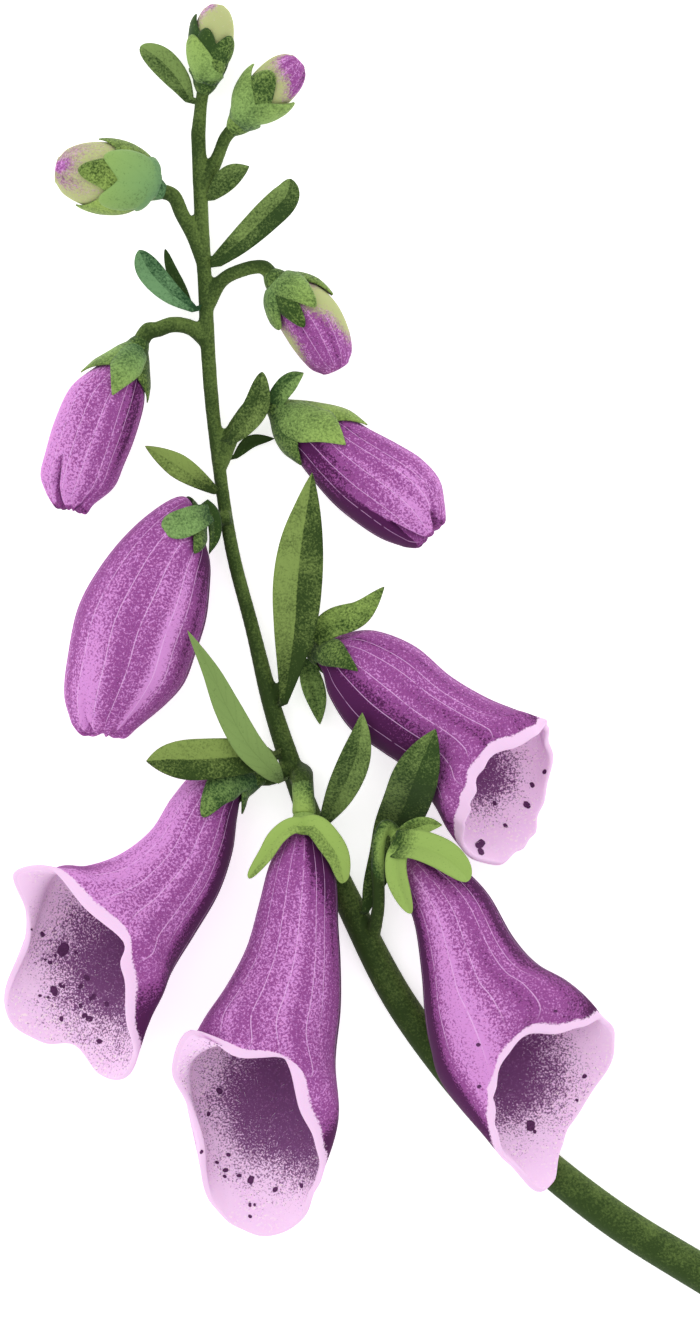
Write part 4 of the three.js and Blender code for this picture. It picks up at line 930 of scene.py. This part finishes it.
# The stamens and the style: five white threads along the roof of each open bell, four of them with a yellow
# anther of two halves. They grow from the small green ovary at the end of the hollow.
FILAMENTS = [(58, 0.6), (76, 0.7), (104, 0.7), (122, 0.6)]  # the angle of each, and how far it reaches
STYLE = (90, 0.78)
FILAMENT_RADIUS = 0.32
THREAD_DEPTH = WALL + 0.35 + FILAMENT_RADIUS + 0.5  # under the outside of the bell
THREAD_FROM, THREAD_STEP = 3.4, 1.4
OVARY_PLACE, OVARY_HALF = 2.6, (1.6, 1.1, 1.1)
ANTHER_DROP, ANTHER_LEAN, ANTHER_HALF = 0.4, 0.45, (1.1, 0.55, 0.5)
EGG_ROWS, EGG_COLUMNS = 11, 14


def tube(path, radii, sides=10, steps=None, colour=(0.5, 0.5, 0.5, 1.0)):
    """A round rod along a smooth path of points."""
    share = np.linspace(0, 1, steps or 5 * len(path))
    centre, ahead = curve(path, share), heading(path, share)
    level = np.where(np.abs(ahead[:, 2:]) > 0.9, np.array((1.0, 0, 0)), np.array((0, 0, 1.0)))
    side = unit(np.cross(ahead, level))
    up = np.cross(side, ahead)
    radius = curve(np.array(radii, float)[:, None], share)[:, :, None]
    turn = np.linspace(0, 2 * math.pi, sides + 1)[None, :-1, None]
    rings = centre[:, None] + radius * (side[:, None] * np.cos(turn) + up[:, None] * np.sin(turn))
    return sleeve(rings, np.linspace(0, 1, sides + 1), share, colour)


def egg(centre, aim, sizes, colour):
    aim = unit(np.asarray(aim, float))
    side = unit(np.cross(aim, (0.0, 0.0, 1.0)))
    up = np.cross(side, aim)
    rise = np.linspace(-1.45, 1.45, EGG_ROWS)[:, None, None]
    turn = np.linspace(0, 2 * math.pi, EGG_COLUMNS + 1)[None, :-1, None]
    rings = (centre + aim * sizes[0] * np.sin(rise)
             + np.cos(rise) * (side * sizes[1] * np.cos(turn) + up * sizes[2] * np.sin(turn)))
    return sleeve(rings, np.linspace(0, 1, EGG_COLUMNS + 1), np.linspace(0, 1, EGG_ROWS), colour)


def stamen_colour(tree):
    pollen = stipple(tree, 0.5, 5000.0, 0.7)
    anther = mix(tree, pollen, paint(226, 190, 92), paint(245, 222, 150))
    return mix(tree, painted_on(tree)["Red"], paint(240, 226, 236), anther), pollen


stamen_finish = finish_of("stamen", stamen_colour, 0.6)
for number in OPEN_BELLS:
    corolla = corollas[number]
    root = corolla.centre(OVARY_PLACE)
    parts = [egg(root, corolla.aim(), OVARY_HALF, (0.3, 0, 0, 1))]
    for degrees, share in (*FILAMENTS, STYLE):
        turn, last = math.radians(degrees), share * corolla.last
        stations = np.arange(THREAD_FROM, last, THREAD_STEP)
        route = [root, *[corolla.offset(turn, station, -THREAD_DEPTH) for station in stations]]
        end = corolla.offset(turn, last, -THREAD_DEPTH - ANTHER_DROP)
        parts.append(tube([*route, end], [FILAMENT_RADIUS] * (len(route) + 1), colour=(0, 0, 0, 1)))
        if (degrees, share) in FILAMENTS:
            ahead = unit(end - route[-1])
            for lean in (-ANTHER_LEAN, ANTHER_LEAN):
                aim = ahead + lean * np.cross(ahead, (0, 0, 1.0))
                parts.append(egg(end + 0.5 * aim, aim, ANTHER_HALF, (1, 0, 0, 1)))
    grown(f"anthers_{number}", parts, [stamen_finish], f"stamens_{number}")

# The hairs in the throats: fine white hairs that stand on the lower lip of each open bell and guard its way
# in. They are slender three-sided spikes, scattered where the lip is widest, and lean a little out of the
# mouth.
HAIRS = 110
HAIR_RADIUS = 0.035
HAIR_LENGTH = (0.5, 1.3)
HAIR_SPREAD = 38  # in degrees, to each side of the lowest lip
HAIR_FROM, HAIR_BAND = 0.25, 2.2  # in rings, back from the edge


def hair_colour(tree):
    shade = noise(tree, 900.0, 1.0)
    return mix(tree, shade, paint(240, 226, 240), paint(250, 244, 250)), shade


hair_finish = finish_of("throat_hair", hair_colour, 0.6, bump=0.0)
for number in OPEN_BELLS:
    corolla = corollas[number]
    turn = np.radians(-90 + HAIR_SPREAD * dice.standard_normal(HAIRS))
    station = corolla.last - HAIR_FROM - HAIR_BAND * dice.random(HAIRS) ** 1.4
    root = on_table(corolla.offset(turn, station, np.full(HAIRS, -WALL + 0.05)), WALL)
    out_of_mouth = unit(corolla.centre(corolla.last - 0.1) - corolla.centre(corolla.last - 1))
    aim = unit(-corolla.outward(turn, station) + 0.5 * out_of_mouth + 0.3 * dice.standard_normal((HAIRS, 3)))
    tip = root + aim * dice.uniform(*HAIR_LENGTH, HAIRS)[:, None]
    side = unit(np.cross(aim, (1.0, 0.0, 0.0)))
    other = np.cross(aim, side)
    corners = [root + HAIR_RADIUS * (side * math.cos(angle) + other * math.sin(angle))
               for angle in np.linspace(0, 2 * math.pi, 4)[:-1]]
    points = np.stack([*corners, tip], 1).reshape(-1, 3)
    faces = [[4 * i + corner for corner in face] for i in range(HAIRS)
             for face in ((0, 1, 3), (1, 2, 3), (2, 0, 3), (2, 1, 0))]
    points = ((points - DRAWING_CENTRE) * MM).tolist()
    put(f"hairs_{number}", new_mesh(f"hairs_{number}", points, faces, [hair_finish], smooth=False))

# The calyces: each flower sits in a cup of overlapping sepals at the end of its stalk. A sepal is the angle
# round the flower where it starts, the x, y its tip lies over, its half width, its layer, how light it is,
# how far it leans to blue and how round its tip is. Each sepal is painted darker towards its root, as shade.
SEPALS = {
    "01": [(-126, 28.9, 167, 1.4, 0, 0.3, 0.2, 0.6), (-54, 25.6, 169.6, 1.4, 0, 0.3, 0.3, 0.6),
           (160, 25.3, 169.9, 1.5, 0.2, 0.2, 0.3, 0.9), (90, 27, 168.1, 1.5, 0.5, 0.15, 0.2, 0.8),
           (20, 29.5, 167.2, 1.5, 0.7, 0.25, 0.2, 0.9), (50, 28.2, 164.5, 1.7, 1.0, 0.42, 0.2, 0.8),
           (130, 25.7, 167.2, 1.5, 1.3, 0.72, 0.25, 0.9)],
    "02": [(-54, 37, 160, 1.6, 0, 0.5, 0.3, 0.6), (-126, 34.6, 162.6, 1.6, 0, 0.5, 0.3, 0.6),
           (90, 35.6, 162.3, 2.3, 0.3, 0.4, 0.2, 0.7), (20, 37.9, 158.9, 1.5, 0.7, 0.6, 0.3, 0.6),
           (150, 33.1, 163.4, 1.7, 1.1, 0.6, 0.3, 0.7)],
    "03": [(18, 12.8, 153.4, 2.6, 0.1, 0.5, 0.0, 0.5), (162, 9.9, 145.3, 2.8, 0.1, 0.6, 0.0, 0.5),
           (90, 10.2, 149.6, 2.4, 0.3, 0.42, 0.0, 0.6), (145, 12.9, 146.3, 2.7, 1.1, 0.82, 0.7, 0.6),
           (50, 13.5, 151, 3.1, 1.1, 0.82, 0.7, 0.4)],
    "04": [(-54, 38.4, 130.6, 2, 0, 0.4, 0.1, 0.6), (-126, 43, 133.2, 2, 0, 0.4, 0.1, 0.6),
           (30, 43.2, 133.3, 1.9, 0.2, 0.5, 0.05, 0.6), (110, 39.7, 129.2, 1.6, 0.5, 0.25, 0.1, 0.6),
           (165, 37, 129.1, 1.9, 1.0, 0.5, 0.4, 0.8), (75, 40.9, 131.6, 1.9, 1.2, 0.52, 0.3, 0.5)],
    "05": [(-54, 12, 122.4, 2, 0, 0.4, 0.1, 0.3), (-126, 17, 120.5, 2, 0, 0.4, 0.1, 0.3),
           (38, 18.8, 119.4, 2.2, 0.2, 0.3, 0.05, 0.2), (142, 10.6, 122.9, 2.6, 0.5, 0.6, 0.25, 0.2),
           (90, 14.5, 120.1, 1.9, 0.9, 0.62, 0.4, 0.1)],
    "06": [(-54, 42, 113, 2.2, 0, 0.4, 0.2, 0.4), (48, 47.6, 116.2, 3.1, 0.2, 0.62, 0.05, 0.2),
           (155, 39.6, 111.5, 2.4, 0.6, 0.4, 0.2, 0.2), (90, 45, 113.6, 2.6, 0.8, 0.6, 0.2, 0.05)],
    "07": [(-56, 22.6, 104.4, 2.2, 0, 0.4, 0.1, 0.5), (-128, 26, 100.6, 2, 0, 0.3, 0.1, 0.5),
           (16, 27.3, 99.6, 1.7, 0.3, 0.2, 0.1, 0.5), (80, 25, 99.7, 1.6, 0.6, 0.3, 0.3, 0.3)],
    "08": [(-126, 43.4, 84, 1.8, 0, 0.4, 0.2, 0.3), (-54, 45.4, 88.2, 1.8, 0, 0.4, 0.2, 0.3),
           (100, 46.8, 84.3, 1.5, 0.5, 0.36, 0.1, 0.2)],
    "09": [(-126, 24.6, 70.2, 2.2, 0, 0.4, 0.2, 0.3), (-54, 29.8, 66.8, 2, 0, 0.4, 0.2, 0.3),
           (162, 27, 69.6, 2.2, 0, 0.4, 0.3, 0.3), (15, 31, 65.8, 1.7, 0.5, 0.35, 0.4, 0.6),
           (90, 26.2, 65.4, 2.1, 0.8, 0.4, 0.45, 0.6)],
    "10": [(-90, 39.4, 58.6, 2, 0, 0.6, 0.1, 0.5), (-18, 43, 60, 2, 0, 0.6, 0.1, 0.5),
           (198, 35.6, 60, 2, 0, 0.6, 0.1, 0.5)],
    "11": [(-90, 56, 56.4, 2, 0, 0.6, 0.1, 0.5), (198, 53.4, 55.4, 2, 0, 0.6, 0.1, 0.5)],
}
# A notch is how far along the sepals part. Those that spread away from the flower are small leaves.
NOTCH = {"01": 0.2, "02": 0.2, "03": 0.6, "07": 0.3, "10": 0.16, "11": 0.3, "09": 0.55, "06": 0.55}
# On these small leaves, sides and root_shade paint light and shade: a shaded edge or a darker root.
SPREADING = {
    "07": [{"spine": [(26.4, 106.4, 6.6), (27.5, 104.8, 6.4), (27.8, 102.2, 6.2), (27.2, 99.7, 6)],
            "half": 1.1, "root": 0.7, "roll": -40, "sides": (0.1, 0.2, 0.1)},
           {"spine": [(27.2, 105, 7.8), (25.4, 104.3, 9.8), (23.2, 103.5, 10.6), (21, 103.5, 10)],
            "half": 1.9, "root": 0.6, "widest": 0.6, "sharpness": 0.5, "sides": (0.6, 0.55, 0.5)}],
    "10": [{"spine": [(40.2, 64.3, 12), (38, 64.3, 12.8), (36.1, 62.9, 12.8), (34.6, 60.6, 12.2),
                      (32.3, 57.6, 11)],
            "half": 1.2, "root": 0.85, "widest": 0.5, "sharpness": 0.4, "roll": 25, "sides": (0.7, 1.0, 0.05),
            "root_shade": 0.15},
           {"spine": [(38.8, 64.3, 12), (40.9, 64.2, 12.8), (42.6, 62.3, 12.9), (43.9, 60.2, 12.3),
                      (44.7, 57, 11)],
            "half": 1.8, "root": 0.6, "widest": 0.5, "sharpness": 0.4, "roll": -25,
            "sides": (1.0, 0.65, 0.05),
            "root_shade": 0.15}],
    "06": [{"spine": [(35.6, 119.2, 5.6), (36.6, 120.9, 6.2), (38, 122.4, 6.4), (39.5, 123.3, 6.2)],
            "half": 1.3, "root": 0.9, "sides": (0.35, 0.5, 0.35)}],
    "08": [{"spine": [(40.7, 88.7, 6.7), (43.2, 90.7, 7.8), (46.8, 92.1, 8), (50, 95.5, 7)],
            "half": 1.9, "root": 0.6, "sides": (0.55, 0.5, 0.05)},
           {"spine": [(39.7, 86, 4.4), (40.4, 83.5, 2.9), (41.2, 80.6, 2.5), (41.6, 77.5, 2.2)],
            "half": 1.5, "root": 0.6, "sides": (0.5, 0.45, 0.25)}],
    "11": [{"spine": [(51.6, 61.8, 10.4), (53.2, 63.6, 11.2), (55.3, 64.5, 11.4), (57.5, 64.5, 10.8)],
            "half": 1.3, "root": 0.9, "sides": (0.55, 0.8, 0.1), "root_shade": 0.3},
           {"spine": [(51.4, 61.8, 12), (54, 61.8, 13.6), (57, 60.7, 14.4), (59.2, 59.2, 14.4),
                      (61, 57.4, 13.9)],
            "half": 2.2, "root": 0.85, "widest": 0.5, "sharpness": 0.45, "roll": -25,
            "sides": (1.0, 0.95, 0.1),
            "root_shade": 0.75},
           {"spine": [(52.6, 62, 12.2), (51.7, 60.3, 13), (51.7, 58, 13), (52.4, 55.6, 13), (53.4, 53, 12.8)],
            "half": 1.5, "root": 0.95, "widest": 0.5, "sharpness": 0.5, "roll": 25, "sides": (0.95, 0.9, 0.1),
            "root_shade": 0.8}],
}
CUP_LIGHT = {"02": 0.5, "03": 0.45, "10": 0.8, "11": 0.75}
CUP_BLUE = {"03": 0.9}
SEPAL_GAP, SEPAL_THICK, LAYER_LIFT = 0.2, 0.5, 0.45
SEPAL_TAPER = 0.42  # the share of a sepal that narrows to its tip
ROOT_TURN = math.radians(42)  # half of what a sepal's root covers of the flower
SEPAL_COLUMNS, SEPAL_ROWS = 13, 32
CUP_LENGTH, CUP_ROWS = 1.5, 21


def sepal(corolla, notch, start, x, y, half, layer, light, blue, roundness):
    start = math.radians(start)
    end, reach = corolla.under(x, y, math.sin(start) < 0)
    end += round((start - end) / (2 * math.pi)) * 2 * math.pi
    share = np.linspace(0, BLADE_END, SEPAL_ROWS)
    turn, station = start + (end - start) * ease(share, -0.3, 1), reach * share
    radius = corolla.radius(turn, station)
    pitch = np.linalg.norm(corolla.point(turn, station + 0.1) - corolla.point(turn, station), axis=1) / 0.1
    sideways = unit(np.stack([np.gradient(station) * pitch, -np.gradient(turn) * radius], 1))
    tip = np.clip((1 - share) / SEPAL_TAPER, 0, 1)
    own = half * ((1 - roundness) * tip + roundness * np.sqrt(1 - (1 - tip) ** 2))
    whole = np.minimum(radius * ROOT_TURN, 1.3 * half + 1)
    wide = own + np.maximum(whole - own, 0) * (1 - ease(share, 0.5 * notch, 1.4 * notch))
    wide = np.minimum(wide, 1.25 * radius)
    across = np.linspace(-1, 1, SEPAL_COLUMNS)
    across = np.concatenate([across, across[::-1]])
    crown = np.repeat([SEPAL_THICK, 0.0], SEPAL_COLUMNS) * np.sqrt(1 - 0.85 * across**2)
    height = (SEPAL_GAP + LAYER_LIFT * layer * ease(share, 0, 0.3)[:, None]
              + crown * np.clip(own / half + 0.3, 0.3, 1)[:, None])
    turns = turn[:, None] + across * (wide * sideways[:, 0] / radius)[:, None]
    stations = np.maximum(station[:, None] + across * (wide * sideways[:, 1] / pitch)[:, None], 0)
    rings = on_table(corolla.offset(turns, stations, height), 0.02)
    # painted shade: the sepal is darker towards its root
    shade = light * (1 - 0.3 * (1 - ease(share, 0, 0.5)))
    colour = np.stack([shade, shade, blue * (1.6 - 1.2 * share), share], -1)[:, None]
    return sleeve(rings, np.append((across + 1) / 2, 0.0), share, colour)


def cup(corolla, light, blue):
    """The receptacle: a small dome from the stalk to the root of the sepals."""
    turn, aim, base = TURNS[:-1:4], corolla.aim(), corolla.centre(0)
    shell, inner, root = [
        corolla.offset(turn, 0 * turn + station, 0 * turn + distance)
        for station, distance in ((0, SEPAL_GAP + SEPAL_THICK), (0.5, SEPAL_GAP + 0.3), (0.5, 0.1))]
    away = shell - base

    def back(distance, scale):
        flat = away - (away @ aim)[:, None] * aim * min(distance, 1)
        return base - aim * distance + flat * scale

    keys = [back(CUP_LENGTH + 0.3, 0.42), back(CUP_LENGTH, 0.6), back(0.8, 0.86), shell, inner, root]
    rings = curve(keys, np.linspace(0, 1, CUP_ROWS))
    around, along = np.full(len(turn) + 1, 0.3), np.linspace(0, 0.2, CUP_ROWS)
    return sleeve(rings, around, along, (light, light, blue, 0))


calyx_green = green_colour(
    paint(152, 180, 90), paint(108, 154, 106), paint(48, 72, 24), paint(38, 78, 46), veins=0.3)
calyx_finish = finish_of("calyx", calyx_green, 0.7, sheen=0.1)
for number, corolla in corollas.items():
    parts = [cup(corolla, CUP_LIGHT.get(number, 0.35), CUP_BLUE.get(number, 0.15))]
    parts += [sepal(corolla, NOTCH.get(number, 0.45), *row) for row in SEPALS[number]]
    parts += [leaf(**spec) for spec in SPREADING.get(number, [])]
    grown(f"sepals_{number}", parts, [calyx_finish], f"calyx_{number}")

# The stem and the flower stalks: one green shoot, cut square at its foot, lying on the table. The stalks
# curve out of it and widen where they join, the whole is painted darker on one side and lighter on the other,
# as painted light and shade, and the two lowest stalks turn pale at the end. A stalk is x, y, z points, and
# goes on to the base of its flower.
STALKS = {
    "01": [(25.7, 154, 3.2)],
    "02": [(26.6, 147.4, 3.2), (28.3, 151.5, 3.4)],
    "03": [(26.5, 138, 3.2), (25.1, 141.2, 3.5), (23.6, 144, 4.4)],
    "04": [(26.9, 132.2, 3.2), (28.7, 135.2, 3.6), (31.2, 136.6, 4.4)],
    "05": [(27, 127.6, 3.2), (24.8, 129.2, 3.4), (22.4, 129.6, 3.8), (20.3, 128.9, 4.2)],
    "06": [(28.5, 111.6, 3.2), (30.6, 116.2, 3.6), (32.8, 119.2, 4.2)],
    "07": [(30, 104.5, 4.6)],
    "08": [(35.2, 80.4, 2.9), (37.4, 84, 3.4)],
    "09": [(38, 71.9, 2.8), (36.6, 71.3, 3.4)],
    "10": [(39, 71, 2.7), (39.3, 70.4, 6), (39.4, 68.8, 8)],
    "11": [(48.3, 49.2, 2.1), (49.2, 54, 6.3), (49.1, 59, 8.6), (49.3, 62.5, 9.2), (50, 64.3, 8.9)],
}
STALK_RADIUS = {"07": 0.7, "08": 0.6, "09": 0.8, "10": 1.4, "11": 0.8}
PALE_ENDS = ((39.4, 65.6), (51.2, 61.5))  # the x, y where a stalk is as pale as its calyx
REMESH = 0.28
SHRINKING = 0.08  # what the smoothing of the joins takes off
PALE_WIDE, PALE_LONG, PALE_ABOVE, PALE_FROM = 2.4, 3.2, 5, 0.12
SIDE_SHADE, UPPER_LIGHT = 0.22, 0.12
BLOCK = 4000  # points measured at a time
stem_path = np.array(STEM)
parts = [tube(stem_path[:, :3], stem_path[:, 3] + SHRINKING, sides=28, steps=180)]
lines = [stem_line]
for number, route in STALKS.items():
    corolla = corollas[number]
    by_size = 0.55 + 0.012 * corolla.last * float(corolla.radius(0, corolla.last / 2))
    radius = STALK_RADIUS.get(number, by_size)
    path = np.array([*route, *[corolla.centre(0) - corolla.aim() * away for away in (2.7, 0.8)]])
    radii = radius * np.array([1.2, *[1.0] * len(route), 1.1]) + SHRINKING
    parts.append(tube(path, radii, sides=18, steps=12 * len(path)))
    lines.append(curve(path, np.linspace(0, 1, 80)))
rough = placed("rough_stem", skin_mesh("rough_stem", parts, []))
welding = rough.modifiers.new("one_skin", "REMESH")
welding.mode, welding.voxel_size, welding.use_smooth_shade = "VOXEL", REMESH * MM, True
easing = rough.modifiers.new("soft_joins", "SMOOTH")
easing.factor, easing.iterations = 0.5, 8
mesh = bpy.data.meshes.new_from_object(rough.evaluated_get(bpy.context.evaluated_depsgraph_get()))
bpy.data.objects.remove(rough)
mesh.name = "stem_and_stalks"
places = np.array([v.co for v in mesh.vertices]) / MM + DRAWING_CENTRE
nearest, side = np.full(len(places), np.inf), np.zeros(len(places))
for line in lines:
    ahead = unit(np.gradient(line, axis=0))
    for start in range(0, len(places), BLOCK):
        block = slice(start, start + BLOCK)
        gaps = np.linalg.norm(places[block, None] - line[None], axis=2)
        closest, gap = gaps.argmin(1), gaps.min(1)
        away, along = places[block] - line[closest], ahead[closest]
        right = (away[:, 0] * along[:, 1] - away[:, 1] * along[:, 0]) / np.maximum(gap, 0.2)
        side[block] = np.where(gap < nearest[block], right, side[block])
        nearest[block] = np.minimum(gap, nearest[block])
x, y, z = places.T
pale_end = sum(np.exp(-(((x - a) / PALE_WIDE) ** 2) - ((y - b) / PALE_LONG) ** 2) for a, b in PALE_ENDS)
pale_end *= z > PALE_ABOVE
# painted light and shade: one side of the stem and stalks darker, the other lighter
tone = 0.3 + SIDE_SHADE * side + UPPER_LIGHT * ease(y, 60, 120) + 0.6 * pale_end
paint_points(mesh, np.clip(np.stack([tone, tone, 0.25 * (1 - pale_end), 1 + 0 * tone], 1), 0, 1))
stem_green = green_colour(paint(108, 128, 60), paint(80, 112, 68), paint(50, 67, 24), paint(42, 70, 36))
stem_finish = finish_of("stem", stem_green, 0.65)
for finish in (stem_finish, calyx_finish):
    mesh.materials.append(finish)
for face in mesh.polygons:
    face.material_index = int(pale_end[face.vertices[0]] > PALE_FROM)
put("stem_and_stalks", mesh, "stem")
